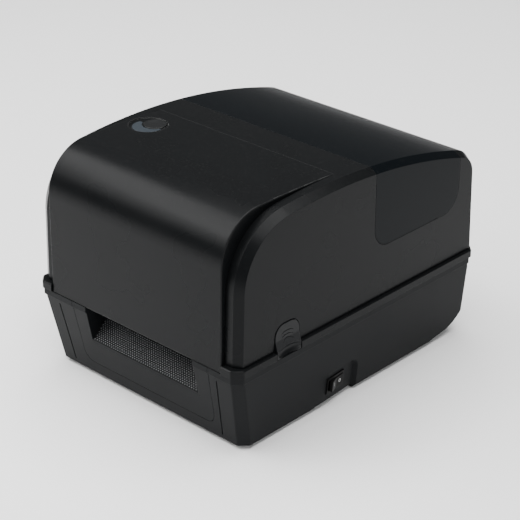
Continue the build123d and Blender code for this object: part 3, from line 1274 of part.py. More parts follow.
def module_side(side):
    """Side plate of the print module, with a flange that stands on the ledge."""
    x0 = MODULE_X
    x1 = MODULE_X + MODULE_THICK
    plate = slab_x(module_outline(), x0, x1)
    plate += box(x0, LEDGE_INNER_X + 8, PLATEN_Y + 44, PLATEN_Y + 88, LEDGE_TOP, LEDGE_TOP + MODULE_THICK)
    plate -= rod_x(SPINDLE_R + RUN, x0 - 1, x1 + 1, SUPPLY_Y, SUPPLY_Z)
    plate -= rod_x(SPINDLE_R + RUN, x0 - 1, x1 + 1, TAKEUP_Y, TAKEUP_Z)
    plate -= rod_x(HEAD_ROD_R, x0 - 1, x1 + 1, HEAD_PIVOT_Y, HEAD_PIVOT_Z)
    window = outline((48, 20), (82, 20), (82, 40), (68, 44), (48, 38))
    plate -= slab_x(Pos(PLATEN_Y, PLATEN_Z) * fillet(window.vertices(), 3), x0 - 1, x1 + 1)
    if side < 0:
        plate = mirrored(plate)
        plate -= rod_x(3.0, -x1 - 1, -x0 + 1, RIBBON_MOTOR_Y, RIBBON_MOTOR_Z)
    return plate


def module_sides():
    return group(module_side(-1), module_side(1))


HEAD_ROD_R = 3.0
CROSS_Z = HEAD_LOW + 31.6


def module_cross_plate():
    """Cross plate that the head springs push against."""
    front = PLATEN_Y - 12
    plate = box(-MODULE_X, MODULE_X, front, PLATEN_Y + 16, CROSS_Z, CROSS_Z + 2)
    return plate + box(-MODULE_X, MODULE_X, front - 1.5, front, CROSS_Z - 6, CROSS_Z + 2)


def ribbon_guide_bars():
    """Polished bars that lead the ribbon past the print head."""
    places = ((PLATEN_Y - 12, PLATEN_Z + 24), (PLATEN_Y + 78, PLATEN_Z + 26))
    return group(*[rod_x(2.5, -MODULE_X, MODULE_X, y, z) for y, z in places])


def head_pivot_rod():
    return rod_x(HEAD_ROD_R, -MODULE_X - MODULE_THICK, MODULE_X + MODULE_THICK, HEAD_PIVOT_Y, HEAD_PIVOT_Z)


def print_head():
    """Ceramic head strip on its aluminium back."""
    strip = box(-HEAD_HALF, HEAD_HALF, PLATEN_Y - 7, PLATEN_Y + 9, HEAD_LOW + 0.4, HEAD_LOW + 2.0)
    bead = box(-HEAD_HALF + 3, HEAD_HALF - 3, PLATEN_Y - 1.2, PLATEN_Y + 1.2, HEAD_LOW, HEAD_LOW + 0.4)
    back = box(-HEAD_HALF, HEAD_HALF, PLATEN_Y - 9, PLATEN_Y + 14, HEAD_LOW + 2.0, HEAD_LOW + 8)
    for y in (PLATEN_Y - 5, PLATEN_Y, PLATEN_Y + 5):
        back -= box(-HEAD_HALF + 6, HEAD_HALF - 6, y - 0.9, y + 0.9, HEAD_LOW + 4.5, HEAD_LOW + 9)
    return strip + bead + back


def head_bracket():
    """Steel bracket from the pivot rod over the head, with spring cups."""
    z = HEAD_LOW + 8
    bracket = box(-HEAD_HALF + 4, HEAD_HALF - 4, PLATEN_Y - 9, HEAD_PIVOT_Y - 6, z, z + 2)
    for x in (-HEAD_HALF + 4, HEAD_HALF - 6):
        ear = outline((HEAD_PIVOT_Y - 14, z), (HEAD_PIVOT_Y + 5.5, z), (HEAD_PIVOT_Y + 5.5, HEAD_PIVOT_Z + 5),
                      (HEAD_PIVOT_Y - 6, HEAD_PIVOT_Z + 5))
        bracket += slab_x(ear, x, x + 2)
    bracket -= rod_x(HEAD_ROD_R + RUN, -FAR, FAR, HEAD_PIVOT_Y, HEAD_PIVOT_Z)
    for x in (-35, 35):
        bracket += rod_z(2.2, z + 2, z + 8, x, PLATEN_Y + 2)
    return bracket


SPRING_R = 4.0
SPRING_WIRE = 0.55
SPRING_TURNS = 5
SPRING_CLEAR = 1.6       # head travel above the springs


def head_springs():
    """Two compression springs that press the head onto the platen."""
    z0 = HEAD_LOW + 10 + SPRING_WIRE
    height = CROSS_Z - SPRING_CLEAR - SPRING_WIRE - z0
    springs = []
    for x in (-35, 35):
        path = Helix(pitch=height / SPRING_TURNS, height=height, radius=SPRING_R)
        start = Plane(origin=path @ 0, z_dir=path % 0)
        coil = sweep(start * Circle(SPRING_WIRE), path=path, is_frenet=True)
        springs.append(Pos(x, PLATEN_Y + 2, z0) * coil)
    return group(*springs)


def spindle(y, z, teeth_end):
    """Ribbon spindle: shaft with a ribbed core barrel and a flange at the right."""
    shaft = rod_x(SPINDLE_R, teeth_end, MODULE_X + MODULE_THICK + 4, y, z)
    barrel = rod_x(CORE_R - 1.5, -54, 56, y, z)
    ribs = [slab_x(Pos(y, z) * Rot(0, 0, 60 * k) * Pos(CORE_R - 2, 0) * Rectangle(4, 1.6), -54, 56)
            for k in range(6)]
    flange = rod_x(CORE_R + 8, 56, 58.5, y, z)
    body = shaft + barrel + flange
    for rib in ribs:
        body += rib
    return body


def ribbon_supply_spindle():
    return spindle(SUPPLY_Y, SUPPLY_Z, -MODULE_X - MODULE_THICK - 4)


TAKEUP_GEAR_X = -MODULE_X - MODULE_THICK - 1.5


def ribbon_takeup_spindle():
    return spindle(TAKEUP_Y, TAKEUP_Z, TAKEUP_GEAR_X - 5)


def takeup_gear():
    face = Pos(TAKEUP_Y, TAKEUP_Z) * gear_face(TAKEUP_TEETH, GEAR_MODULE, 0)
    gear = slab_x(face, TAKEUP_GEAR_X - 4, TAKEUP_GEAR_X)
    web = Pos(TAKEUP_Y, TAKEUP_Z) * (Circle(15.5) - Circle(7))
    gear -= slab_x(web, TAKEUP_GEAR_X - 1.2, TAKEUP_GEAR_X)
    return gear - rod_x(SPINDLE_R, -FAR, FAR, TAKEUP_Y, TAKEUP_Z)


def ribbon_motor():
    """Flat ribbon motor on the inside of the left module side."""
    x0 = -MODULE_X
    motor = rod_x(RIBBON_MOTOR_R, x0, x0 + RIBBON_MOTOR_LONG, RIBBON_MOTOR_Y, RIBBON_MOTOR_Z)
    motor = chamfer(motor.edges().group_by(Axis.X)[-1], 1.0)
    return motor - rod_x(1.5 + RUN, x0 - 1, x0 + 5, RIBBON_MOTOR_Y, RIBBON_MOTOR_Z)


def ribbon_pinion():
    face = Pos(RIBBON_MOTOR_Y, RIBBON_MOTOR_Z) * gear_face(RIBBON_TEETH, GEAR_MODULE, RIBBON_PHASE)
    gear = slab_x(face, TAKEUP_GEAR_X - 4, TAKEUP_GEAR_X)
    return gear + rod_x(1.5, TAKEUP_GEAR_X, -MODULE_X + 4, RIBBON_MOTOR_Y, RIBBON_MOTOR_Z)


def lid_screws():
    """Screws through the ledge into the cover and the module flanges."""
    screws = []
    for x, y in LID_SCREW_PLACES:
        cross = Pos(x, y, LEDGE_LOW) * (Box(2.6, 0.6, 1.6) + Box(0.6, 2.6, 1.6))
        screws.append(rod_z(2.9, LEDGE_LOW, LEDGE_LOW + 1.8, x, y) - cross)
    return group(*screws)


NODES = {
    "base_tub": base_tub,
    "front_bezel": front_bezel,
    "rubber_feet": rubber_feet,
    "base_screws": base_screws,
    "media_tray": media_tray,
    "platen_frame_left": lambda: platen_frame(-1),
    "platen_frame_right": lambda: platen_frame(1),
    "platen_bushes": platen_bushes,
    "platen_shaft": platen_shaft,
    "platen_roller": platen_roller,
    "platen_gear": platen_gear,
    "idler_gear": idler_gear,
    "gear_posts": gear_posts,
    "motor_pinion": motor_pinion,
    "motor_shaft": motor_shaft,
    "stepper_motor": stepper_motor,
    "tear_bar": tear_bar,
    "media_guide_left": lambda: media_guide(-1),
    "media_guide_right": lambda: media_guide(1),
    "guide_pinion": guide_pinion,
    "sensor_rod": sensor_rod,
    "sensor_brackets": sensor_brackets,
    "sensor_carriage": sensor_carriage,
    "port_plate": port_plate,
    "main_board": main_board,
    "board_posts": board_posts,
    "board_parts": board_parts,
    "dc_jack": dc_jack,
    "usb_port": usb_port,
    "network_port": network_port,
    "switch_housing": switch_housing,
    "power_rocker": power_rocker,
    "hinge_brackets": hinge_brackets,
    "hinge_pins": hinge_pins,
    "lid_hinge_leaves": lid_hinge_leaves,
    "lid_frame": lid_frame,
    "cover_shell": cover_shell,
    "centre_panel": centre_panel,
    "status_light": status_light,
    "feed_button": feed_button,
    "button_board": button_board,
    "smoked_window": smoked_window,
    "latch_left": lambda: latch_body(-1),
    "latch_right": lambda: latch_body(1),
    "latch_brackets": latch_brackets,
    "latch_pins": latch_pins,
    "latch_keepers": latch_keepers,
    "module_sides": module_sides,
    "module_cross_plate": module_cross_plate,
    "ribbon_guide_bars": ribbon_guide_bars,
    "head_pivot_rod": head_pivot_rod,
    "print_head": print_head,
    "head_bracket": head_bracket,
    "head_springs": head_springs,
    "ribbon_supply_spindle": ribbon_supply_spindle,
    "ribbon_takeup_spindle": ribbon_takeup_spindle,
    "takeup_gear": takeup_gear,
    "ribbon_motor": ribbon_motor,
    "ribbon_pinion": ribbon_pinion,
    "lid_screws": lid_screws,
}

os.makedirs("parts", exist_ok=True)
for name, make in NODES.items():
    export_step(make(), f"parts/{name}.step")
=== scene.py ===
from math import pi, radians

import bpy
from mathutils import Matrix, Vector


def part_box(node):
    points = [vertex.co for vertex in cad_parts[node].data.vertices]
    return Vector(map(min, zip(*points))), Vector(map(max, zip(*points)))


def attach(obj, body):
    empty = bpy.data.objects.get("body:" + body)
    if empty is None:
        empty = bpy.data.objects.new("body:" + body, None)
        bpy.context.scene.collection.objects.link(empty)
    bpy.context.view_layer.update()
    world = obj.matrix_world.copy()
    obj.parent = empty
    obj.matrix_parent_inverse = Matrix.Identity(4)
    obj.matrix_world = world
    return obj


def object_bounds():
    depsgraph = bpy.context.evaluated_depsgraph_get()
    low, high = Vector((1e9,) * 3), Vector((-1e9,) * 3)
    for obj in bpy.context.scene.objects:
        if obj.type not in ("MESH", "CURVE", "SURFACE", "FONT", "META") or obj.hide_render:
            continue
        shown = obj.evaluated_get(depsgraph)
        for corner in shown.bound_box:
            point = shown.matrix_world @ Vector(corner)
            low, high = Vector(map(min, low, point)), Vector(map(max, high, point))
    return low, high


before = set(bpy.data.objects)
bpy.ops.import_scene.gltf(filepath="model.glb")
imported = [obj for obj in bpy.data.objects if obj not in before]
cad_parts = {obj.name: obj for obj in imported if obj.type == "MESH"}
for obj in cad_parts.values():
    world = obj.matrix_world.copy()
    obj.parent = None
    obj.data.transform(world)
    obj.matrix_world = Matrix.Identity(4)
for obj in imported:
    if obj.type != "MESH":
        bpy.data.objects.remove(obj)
cad_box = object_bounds()


# ---- Studio: camera, soft boxes and floor ------------------------------------------------------
# A product table with pale paper under the printer. A long soft box stands at the front left,
# a larger one above it and one at the right; a broad one overhead keeps the paper bright.
CAMERA_TURN = radians(43.29)
CAMERA_TILT = radians(26.9)
CAMERA_PLACE = (0.8478, -0.9005, 0.7052)
LENS_LENGTH = 118.5
FILM_WIDTH = 36.0
NEAREST = 0.05
ROOM_GLOW = 0.15
TABLE_SIZE = 8.0
PAPER_MOTTLE = 3.0
PAPER_DARK = (0.90, 0.90, 0.90, 1)
PAPER_LIGHT = (0.93, 0.93, 0.93, 1)

camera = bpy.data.cameras.new("camera")
camera.lens = LENS_LENGTH
camera.sensor_width = FILM_WIDTH
camera.clip_start = NEAREST
camera_object = bpy.data.objects.new("camera", camera)
camera_object.location = CAMERA_PLACE
camera_object.rotation_euler = (pi / 2 - CAMERA_TILT, 0.0, CAMERA_TURN)
bpy.context.scene.collection.objects.link(camera_object)
bpy.context.scene.camera = camera_object


def soft_box(name, place, target, size, watts):
    """A rectangular lamp at place that faces target."""
    light = bpy.data.lights.new(name, "AREA")
    light.shape = "RECTANGLE"
    light.size = size[0]
    light.size_y = size[1]
    light.energy = watts
    lamp = bpy.data.objects.new(name, light)
    lamp.location = place
    lamp.rotation_euler = (Vector(target) - Vector(place)).to_track_quat("-Z", "Y").to_euler()
    bpy.context.scene.collection.objects.link(lamp)


soft_box("key_soft_box", place=(-0.40, -0.76, 0.62), target=(0.06, -0.1, 0.12),
         size=(0.75, 0.4), watts=4)
soft_box("upper_left_soft_box", place=(-0.9, -0.6, 1.15), target=(0.0, -0.1, 0.15),
         size=(1.2, 0.6), watts=16)
soft_box("side_soft_box", place=(1.6, -0.7, 0.8), target=(0, 0, 0.1), size=(0.8, 0.8), watts=14)
soft_box("roof_soft_box", place=(0, 0.1, 2.0), target=(0, 0, 0), size=(2.2, 2.2), watts=100)

world = bpy.data.worlds.new("surround")
world.use_nodes = True
backdrop = world.node_tree.nodes["Background"]
backdrop.inputs["Color"].default_value = (1.0, 1.0, 1.0, 1.0)
backdrop.inputs["Strength"].default_value = ROOM_GLOW
bpy.context.scene.world = world


def new_material(name, **values):
    """A node material whose shader values are set on its own sockets."""
    material = bpy.data.materials.new(name)
    material.use_nodes = True
    shader = material.node_tree.nodes["Principled BSDF"]
    for socket, value in values.items():
        shader.inputs[socket.replace("_", " ")].default_value = value
    return material, material.node_tree, shader


def floor_material():
    """Matt pale paper with a slow mottle."""
    material, tree, shader = new_material("table_paper", Roughness=0.6)
    place = tree.nodes.new("ShaderNodeTexCoord")
    noise = tree.nodes.new("ShaderNodeTexNoise")
    noise.inputs["Scale"].default_value = PAPER_MOTTLE
    tint = tree.nodes.new("ShaderNodeMix")
    tint.data_type = "RGBA"
    tint.inputs["A"].default_value = PAPER_DARK
    tint.inputs["B"].default_value = PAPER_LIGHT
    tree.links.new(place.outputs["Object"], noise.inputs["Vector"])
    tree.links.new(noise.outputs["Fac"], tint.inputs["Factor"])
    tree.links.new(tint.outputs["Result"], shader.inputs["Base Color"])
    return material


bpy.ops.object.select_all(action="DESELECT")
bpy.ops.mesh.primitive_plane_add(size=TABLE_SIZE, location=(0, 0, cad_box[0][2]))
floor = bpy.context.object
floor.name = "table"
floor.data.materials.append(floor_material())


# ---- Base housing ------------------------------------------------------------------------------
# Lower shell, front bezel and connector plate, injection moulded in black ABS. The tool is
# spark eroded, which leaves a fine even grain; handling polishes the edges a little.
def effect_group(name, inputs, outputs):
    """An empty shader group with named inputs, given as (name, default), and outputs."""
    group = bpy.data.node_groups.new(name, "ShaderNodeTree")
    for socket, default in inputs:
        made = group.interface.new_socket(name=socket, in_out="INPUT",
                                          socket_type="NodeSocketFloat")
        made.default_value = default
    for socket, kind in outputs:
        group.interface.new_socket(name=socket, in_out="OUTPUT", socket_type=kind)
    return group, group.nodes.new("NodeGroupInput"), group.nodes.new("NodeGroupOutput")


def value_node(tree, operation, *operands, clamp=False):
    """A Math node; each operand is a socket or a number."""
    node = tree.nodes.new("ShaderNodeMath")
    node.operation = operation
    node.use_clamp = clamp
    for index, operand in enumerate(operands):
        if isinstance(operand, (int, float)):
            node.inputs[index].default_value = operand
        else:
            tree.links.new(operand, node.inputs[index])
    return node.outputs[0]


def grain_effect():
    """Fine eroded grain: a height, and a slow unevenness for colour and gloss."""
    group, given, result = effect_group(
        "eroded_grain", [("Grain Size", 0.0006), ("Unevenness Size", 0.05)],
        [("Height", "NodeSocketFloat"), ("Unevenness", "NodeSocketFloat")])
    place = group.nodes.new("ShaderNodeTexCoord")
    pits = group.nodes.new("ShaderNodeTexNoise")
    pits.inputs["Detail"].default_value = 3.0
    pits.inputs["Roughness"].default_value = 0.6
    slow = group.nodes.new("ShaderNodeTexNoise")
    slow.inputs["Detail"].default_value = 2.0
    fine_scale = value_node(group, "DIVIDE", 1.0, given.outputs["Grain Size"])
    slow_scale = value_node(group, "DIVIDE", 1.0, given.outputs["Unevenness Size"])
    group.links.new(place.outputs["Object"], pits.inputs["Vector"])
    group.links.new(place.outputs["Object"], slow.inputs["Vector"])
    group.links.new(fine_scale, pits.inputs["Scale"])
    group.links.new(slow_scale, slow.inputs["Scale"])
    group.links.new(pits.outputs["Fac"], result.inputs["Height"])
    group.links.new(slow.outputs["Fac"], result.inputs["Unevenness"])
    return group


def edge_effect():
    """Edges: a mask that is 1 on outer edges, used for polish in gloss and for painted highlight in
    colour, and the rounded normal.
    """
    group, given, result = effect_group(
        "edge_polish_and_highlight", [("Radius", 0.0006), ("Strength", 1.0)],
        [("Mask", "NodeSocketFloat"), ("Normal", "NodeSocketVector")])
    rounded = group.nodes.new("ShaderNodeBevel")
    rounded.samples = 4
    flat = group.nodes.new("ShaderNodeNewGeometry")
    agree = group.nodes.new("ShaderNodeVectorMath")
    agree.operation = "DOT_PRODUCT"
    group.links.new(given.outputs["Radius"], rounded.inputs["Radius"])
    group.links.new(rounded.outputs["Normal"], agree.inputs[0])
    group.links.new(flat.outputs["Normal"], agree.inputs[1])
    apart = value_node(group, "SUBTRACT", 1.0, agree.outputs["Value"])
    strong = value_node(group, "MULTIPLY", apart, given.outputs["Strength"], clamp=True)
    group.links.new(strong, result.inputs["Mask"])
    group.links.new(rounded.outputs["Normal"], result.inputs["Normal"])
    return group


SPECK_CUT = 0.62
THIN_VEIL = 0.35


def dust_effect():
    """Thin dust that settles on faces that look up."""
    group, given, result = effect_group(
        "settled_dust", [("Amount", 0.1), ("Speck Size", 0.002)], [("Mask", "NodeSocketFloat")])
    place = group.nodes.new("ShaderNodeTexCoord")
    flat = group.nodes.new("ShaderNodeNewGeometry")
    split = group.nodes.new("ShaderNodeSeparateXYZ")
    specks = group.nodes.new("ShaderNodeTexNoise")
    specks.inputs["Detail"].default_value = 5.0
    scale = value_node(group, "DIVIDE", 1.0, given.outputs["Speck Size"])
    group.links.new(place.outputs["Object"], specks.inputs["Vector"])
    group.links.new(scale, specks.inputs["Scale"])
    group.links.new(flat.outputs["Normal"], split.inputs["Vector"])
    up = value_node(group, "MAXIMUM", split.outputs["Z"], 0.0)
    sparse = value_node(group, "GREATER_THAN", specks.outputs["Fac"], SPECK_CUT)
    veil = value_node(group, "MULTIPLY", up, value_node(group, "ADD", sparse, THIN_VEIL))
    group.links.new(value_node(group, "MULTIPLY", veil, given.outputs["Amount"], clamp=True),
                    result.inputs["Mask"])
    return group


GRAIN = grain_effect()
EDGE = edge_effect()
DUST = dust_effect()


def place_effect(tree, group, **values):
    """One use of an effect group, with its own input values."""
    node = tree.nodes.new("ShaderNodeGroup")
    node.node_tree = group
    for socket, value in values.items():
        node.inputs[socket.replace("_", " ")].default_value = value
    return node


def blend_colour(tree, factor, first, second):
    """A colour mix; the first colour is a socket or a value."""
    mix = tree.nodes.new("ShaderNodeMix")
    mix.data_type = "RGBA"
    tree.links.new(factor, mix.inputs["Factor"])
    if isinstance(first, tuple):
        mix.inputs["A"].default_value = first
    else:
        tree.links.new(first, mix.inputs["A"])
    mix.inputs["B"].default_value = second
    return mix.outputs["Result"]


def grey(level, tint=0.0):
    """A nearly neutral colour; tint leans it to blue."""
    return (level * (1 - tint), level, level * (1 + tint), 1.0)


def brighter(colour, gain, lift=0.0):
    """The lighter colour of an edge: a painted highlight, on plastic partly handling polish too."""
    return tuple(min(1.0, part * gain + lift) for part in colour[:3]) + (1.0,)


def finish_surface(tree, shader, colour, rough, height, depth, normal=None, metallic=None):
    """Link colour, roughness and a bump of the given depth to the shader."""
    bump = tree.nodes.new("ShaderNodeBump")
    bump.inputs["Distance"].default_value = depth
    tree.links.new(height, bump.inputs["Height"])
    if normal is not None:
        tree.links.new(normal, bump.inputs["Normal"])
    if metallic is not None:
        tree.links.new(metallic, shader.inputs["Metallic"])
    tree.links.new(colour, shader.inputs["Base Color"])
    tree.links.new(rough, shader.inputs["Roughness"])
    tree.links.new(bump.outputs["Normal"], shader.inputs["Normal"])


EDGE_GAIN = 2.0
WEAR_AND_HIGHLIGHT_GAIN = 1.6
EDGE_GLOSS = 0.1
GLOSS_SPREAD = 0.08
DUST_COLOUR = (0.42, 0.41, 0.39, 1.0)


def moulded_plastic(name, dark, light, gloss=0.45, grain=0.00055, depth=0.00006, edge=0.0005,
                    dust=0.008, polish_and_highlight=0.12, shine=0.12, painted_rim_highlight=0.03):
    """Moulded plastic: grain in the bump, slow change in colour, polished edges lightened in colour
    as a painted highlight, thin dust.
    """
    material, tree, shader = new_material(name, IOR=1.5, Specular_IOR_Level=shine)
    grains = place_effect(tree, GRAIN, Grain_Size=grain)
    edges = place_effect(tree, EDGE, Radius=edge, Strength=EDGE_GAIN)
    dusty = place_effect(tree, DUST, Amount=dust)
    base = blend_colour(tree, grains.outputs["Unevenness"], dark, light)
    # Edge colour is lightened: partly handling polish, partly painted highlight; rim adds a further
    # painted highlight lift.
    rubbed_and_highlit = value_node(tree, "MULTIPLY", edges.outputs["Mask"], polish_and_highlight)
    worn_and_highlit = blend_colour(tree, rubbed_and_highlit, base, brighter(light, WEAR_AND_HIGHLIGHT_GAIN, painted_rim_highlight))
    final = blend_colour(tree, dusty.outputs["Mask"], worn_and_highlit, DUST_COLOUR)
    uneven = value_node(tree, "MULTIPLY_ADD", grains.outputs["Unevenness"], GLOSS_SPREAD,
                        gloss - GLOSS_SPREAD / 2)
    rough = value_node(tree, "SUBTRACT", uneven,
                       value_node(tree, "MULTIPLY", edges.outputs["Mask"], EDGE_GLOSS))
    finish_surface(tree, shader, final, rough, grains.outputs["Height"], depth,
                   normal=edges.outputs["Normal"])
    return material


def dress(material, *nodes):
    """Give CAD nodes their material."""
    for node in nodes:
        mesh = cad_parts[node].data
        mesh.materials.clear()
        mesh.materials.append(material)


# Besides the handling polish, the edges are lightened a little in colour as a painted highlight.
base_plastic = moulded_plastic("base_plastic", grey(0.0045, 0.12), grey(0.006, 0.10), gloss=0.5,
                               polish_and_highlight=0.3, shine=0.09, painted_rim_highlight=0.02)
dress(base_plastic, "base_tub", "front_bezel", "port_plate")


# ---- Feet and base screws ----------------------------------------------------------------------
# Four round feet of soft rubber glued under the base, each with moulded grip rings, and six zinc
# plated screws that hold the inner parts from below.
foot_rubber = moulded_plastic("foot_rubber", grey(0.014), grey(0.0182), gloss=0.75,
                              grain=0.0012, depth=0.0001, dust=0.12, polish_and_highlight=0.05)
dress(foot_rubber, "rubber_feet")


def metal_effect():
    """Worked metal: fine lines along one axis as a height, and cloudy stains as a mask."""
    group, given, result = effect_group(
        "worked_metal", [("Line Size", 0.0002), ("Line Length", 0.02), ("Stain Size", 0.012)],
        [("Height", "NodeSocketFloat"), ("Stains", "NodeSocketFloat")])
    place = group.nodes.new("ShaderNodeTexCoord")
    split = group.nodes.new("ShaderNodeSeparateXYZ")
    join = group.nodes.new("ShaderNodeCombineXYZ")
    lines = group.nodes.new("ShaderNodeTexNoise")
    lines.inputs["Scale"].default_value = 1.0
    lines.inputs["Detail"].default_value = 2.0
    stains = group.nodes.new("ShaderNodeTexNoise")
    stains.inputs["Detail"].default_value = 4.0
    group.links.new(place.outputs["Object"], split.inputs["Vector"])
    for axis, size in (("X", "Line Length"), ("Y", "Line Size"), ("Z", "Line Size")):
        stretched = value_node(group, "DIVIDE", split.outputs[axis], given.outputs[size])
        group.links.new(stretched, join.inputs[axis])
    group.links.new(join.outputs["Vector"], lines.inputs["Vector"])
    group.links.new(place.outputs["Object"], stains.inputs["Vector"])
    stain_scale = value_node(group, "DIVIDE", 1.0, given.outputs["Stain Size"])
    group.links.new(stain_scale, stains.inputs["Scale"])
    group.links.new(lines.outputs["Fac"], result.inputs["Height"])
    group.links.new(stains.outputs["Fac"], result.inputs["Stains"])
    return group


METAL = metal_effect()
METAL_GAIN = 1.25
METAL_SPREAD = 0.16


def worked_metal(name, dark, light, rough=0.35, line=0.0002, length=0.02, stain=0.012,
                 depth=0.00001, edge=0.0003):
    """Bare or plated metal: lines of working, cloudy stains in colour and gloss, edges lightened in
    colour as a painted highlight.
    """
    material, tree, shader = new_material(name, Metallic=1.0)
    work = place_effect(tree, METAL, Line_Size=line, Line_Length=length, Stain_Size=stain)
    edges = place_effect(tree, EDGE, Radius=edge, Strength=EDGE_GAIN)
    base = blend_colour(tree, work.outputs["Stains"], dark, light)
    # Edges are lightened in colour as a painted highlight.
    bright = blend_colour(tree, edges.outputs["Mask"], base, brighter(light, METAL_GAIN))
    stained = value_node(tree, "MULTIPLY_ADD", work.outputs["Stains"], METAL_SPREAD,
                         rough - METAL_SPREAD / 2)
    finish_surface(tree, shader, bright, stained, work.outputs["Height"], depth,
                   normal=edges.outputs["Normal"])
    return material


screw_zinc = worked_metal("screw_zinc", (0.30, 0.31, 0.32, 1), (0.46, 0.47, 0.48, 1), rough=0.38,
                          length=0.0004, stain=0.003)
dress(screw_zinc, "base_screws", "lid_screws")

foot_low, foot_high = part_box("rubber_feet")
FOOT_RADIUS = 0.008
RING_RADII = (0.0034, 0.0058)
RING_THICK = 0.00045
RING_FLAT = 0.22
RING_LIFT = 0.0001


def joined(objects, name):
    """The objects as one piece."""
    bpy.ops.object.select_all(action="DESELECT")
    for piece in objects:
        piece.select_set(True)
    bpy.context.view_layer.objects.active = objects[0]
    bpy.ops.object.join()
    objects[0].name = name
    return objects[0]


def settle(piece, material, body, angle=35):
    """Finish a new piece: put its place in the mesh, shade it, give its material and body."""
    bpy.ops.object.select_all(action="DESELECT")
    piece.select_set(True)
    bpy.context.view_layer.objects.active = piece
    bpy.ops.object.transform_apply(location=True, rotation=True, scale=True)
    bpy.ops.object.shade_smooth_by_angle(angle=radians(angle))
    piece.data.materials.clear()
    piece.data.materials.append(material)
    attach(piece, body)


rings = []
for foot_x in (foot_low[0] + FOOT_RADIUS, foot_high[0] - FOOT_RADIUS):
    for foot_y in (foot_low[1] + FOOT_RADIUS, foot_high[1] - FOOT_RADIUS):
        for ring_radius in RING_RADII:
            ring_place = (foot_x, foot_y, foot_low[2] + RING_LIFT)
            bpy.ops.object.select_all(action="DESELECT")
            bpy.ops.mesh.primitive_torus_add(location=ring_place,
                                             major_radius=ring_radius, minor_radius=RING_THICK,
                                             major_segments=40, minor_segments=8)
            ring = bpy.context.object
            bpy.ops.object.mode_set(mode="EDIT")
            bpy.ops.transform.resize(value=(1.0, 1.0, RING_FLAT), center_override=ring_place)
            bpy.ops.object.mode_set(mode="OBJECT")
            rings.append(ring)
settle(joined(rings, "foot_rings"), foot_rubber, "base")


# ---- Label ramp --------------------------------------------------------------------------------
# The sloping face behind the label slot is moulded with rows of small round studs that keep the
# peeled liner from sticking. One stud is modelled and copied over the ramp; their light grey is a
# painted highlight.
STUD_PITCH = 0.0024
STUD_ROW = 0.0032
STUD_RADIUS = 0.00062
STUD_RISE = 0.00045
STUD_TAPER = 0.62
STUD_START = 0.0008
RAMP_HALF = 0.0583
RAMP_BACK = 0.0066
RAMP_DROP = 0.0305
RAMP_LENGTH = 0.0215
RAMP_TILT = radians(45)
bezel_low, bezel_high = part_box("front_bezel")
ramp_middle = (bezel_low[0] + bezel_high[0]) / 2
# The studs are the bezel's black plastic; their light grey colour is a painted highlight for the
# light they catch.
stud_painted_highlight = moulded_plastic("studs_painted_highlight", grey(0.07, 0.05), grey(0.09, 0.05), gloss=0.3,
                               grain=0.0004, depth=0.00001, dust=0.0, polish_and_highlight=0.5, shine=0.5)


def one_stud():
    """A flat-topped round stud of eight sides, standing on its origin."""
    bpy.ops.object.select_all(action="DESELECT")
    bpy.ops.mesh.primitive_cylinder_add(vertices=8, radius=STUD_RADIUS, depth=STUD_RISE,
                                        end_fill_type="NGON", location=(0, 0, STUD_RISE / 2))
    stud = bpy.context.object
    bpy.ops.object.mode_set(mode="EDIT")
    bpy.ops.mesh.select_all(action="DESELECT")
    bpy.ops.object.mode_set(mode="OBJECT")
    # The mesh is centred here, so only the top lies this far above its middle.
    for face in stud.data.polygons:
        face.select = face.center.z > STUD_RISE * 0.4
    bpy.ops.object.mode_set(mode="EDIT")
    bpy.ops.mesh.select_mode(type="FACE")
    bpy.ops.transform.resize(value=(STUD_TAPER, STUD_TAPER, 1.0))
    bpy.ops.object.mode_set(mode="OBJECT")
    bpy.ops.object.transform_apply(location=True, rotation=False, scale=True)
    return stud


def row_of(source, count, offset):
    """The piece repeated count times along offset, made real."""
    bpy.ops.object.select_all(action="DESELECT")
    source.select_set(True)
    bpy.context.view_layer.objects.active = source
    array = source.modifiers.new("row", "ARRAY")
    array.count = count
    array.use_relative_offset = False
    array.use_constant_offset = True
    array.constant_offset_displace = offset
    bpy.ops.object.modifier_apply(modifier=array.name)
    return source


ramp_studs = one_stud()
stud_columns = int(2 * RAMP_HALF / STUD_PITCH)
row_of(ramp_studs, stud_columns, (STUD_PITCH, 0, 0))
row_of(ramp_studs, 2, (STUD_PITCH / 2, STUD_ROW / 2, 0))
row_of(ramp_studs, int(RAMP_LENGTH / STUD_ROW), (0, STUD_ROW, 0))
field_half = (stud_columns - 0.5) * STUD_PITCH / 2
ramp_foot = (ramp_middle, bezel_low[1] + RAMP_BACK, bezel_high[2] - RAMP_DROP)
ramp_studs.data.transform(Matrix.Translation((-field_half, STUD_START, 0)))
ramp_studs.data.transform(Matrix.Rotation(RAMP_TILT, 4, "X"))
ramp_studs.data.transform(Matrix.Translation(ramp_foot))
ramp_studs.name = "ramp_studs"
settle(ramp_studs, stud_painted_highlight, "base", angle=20)


# ---- Power switch ------------------------------------------------------------------------------
# A snap-in rocker switch moulded in glossy nylon, pushed into its hole from outside. The on and
# off marks, a bar and a ring, are inlaid in white.
switch_nylon = moulded_plastic("switch_nylon", grey(0.005), grey(0.007), gloss=0.35, depth=0.00001,
                               dust=0.0, shine=0.06)
dress(switch_nylon, "switch_housing", "power_rocker")
MARK_TALL = 0.0030
MARK_WIDE = 0.0007
MARK_THICK = 0.00016
MARK_EDGE = 0.00007
MARK_RING = 0.00125
RING_LINE = 0.00032
RING_SHAPE = (0.8, 1.0, 0.25)
MARK_LIFT = 0.00004
OUTWARD = 0.8
mark_white = moulded_plastic("inlaid_white", grey(0.62), grey(0.70), gloss=0.5, depth=0.000005,
                             dust=0.02, polish_and_highlight=0.0, shine=0.4)


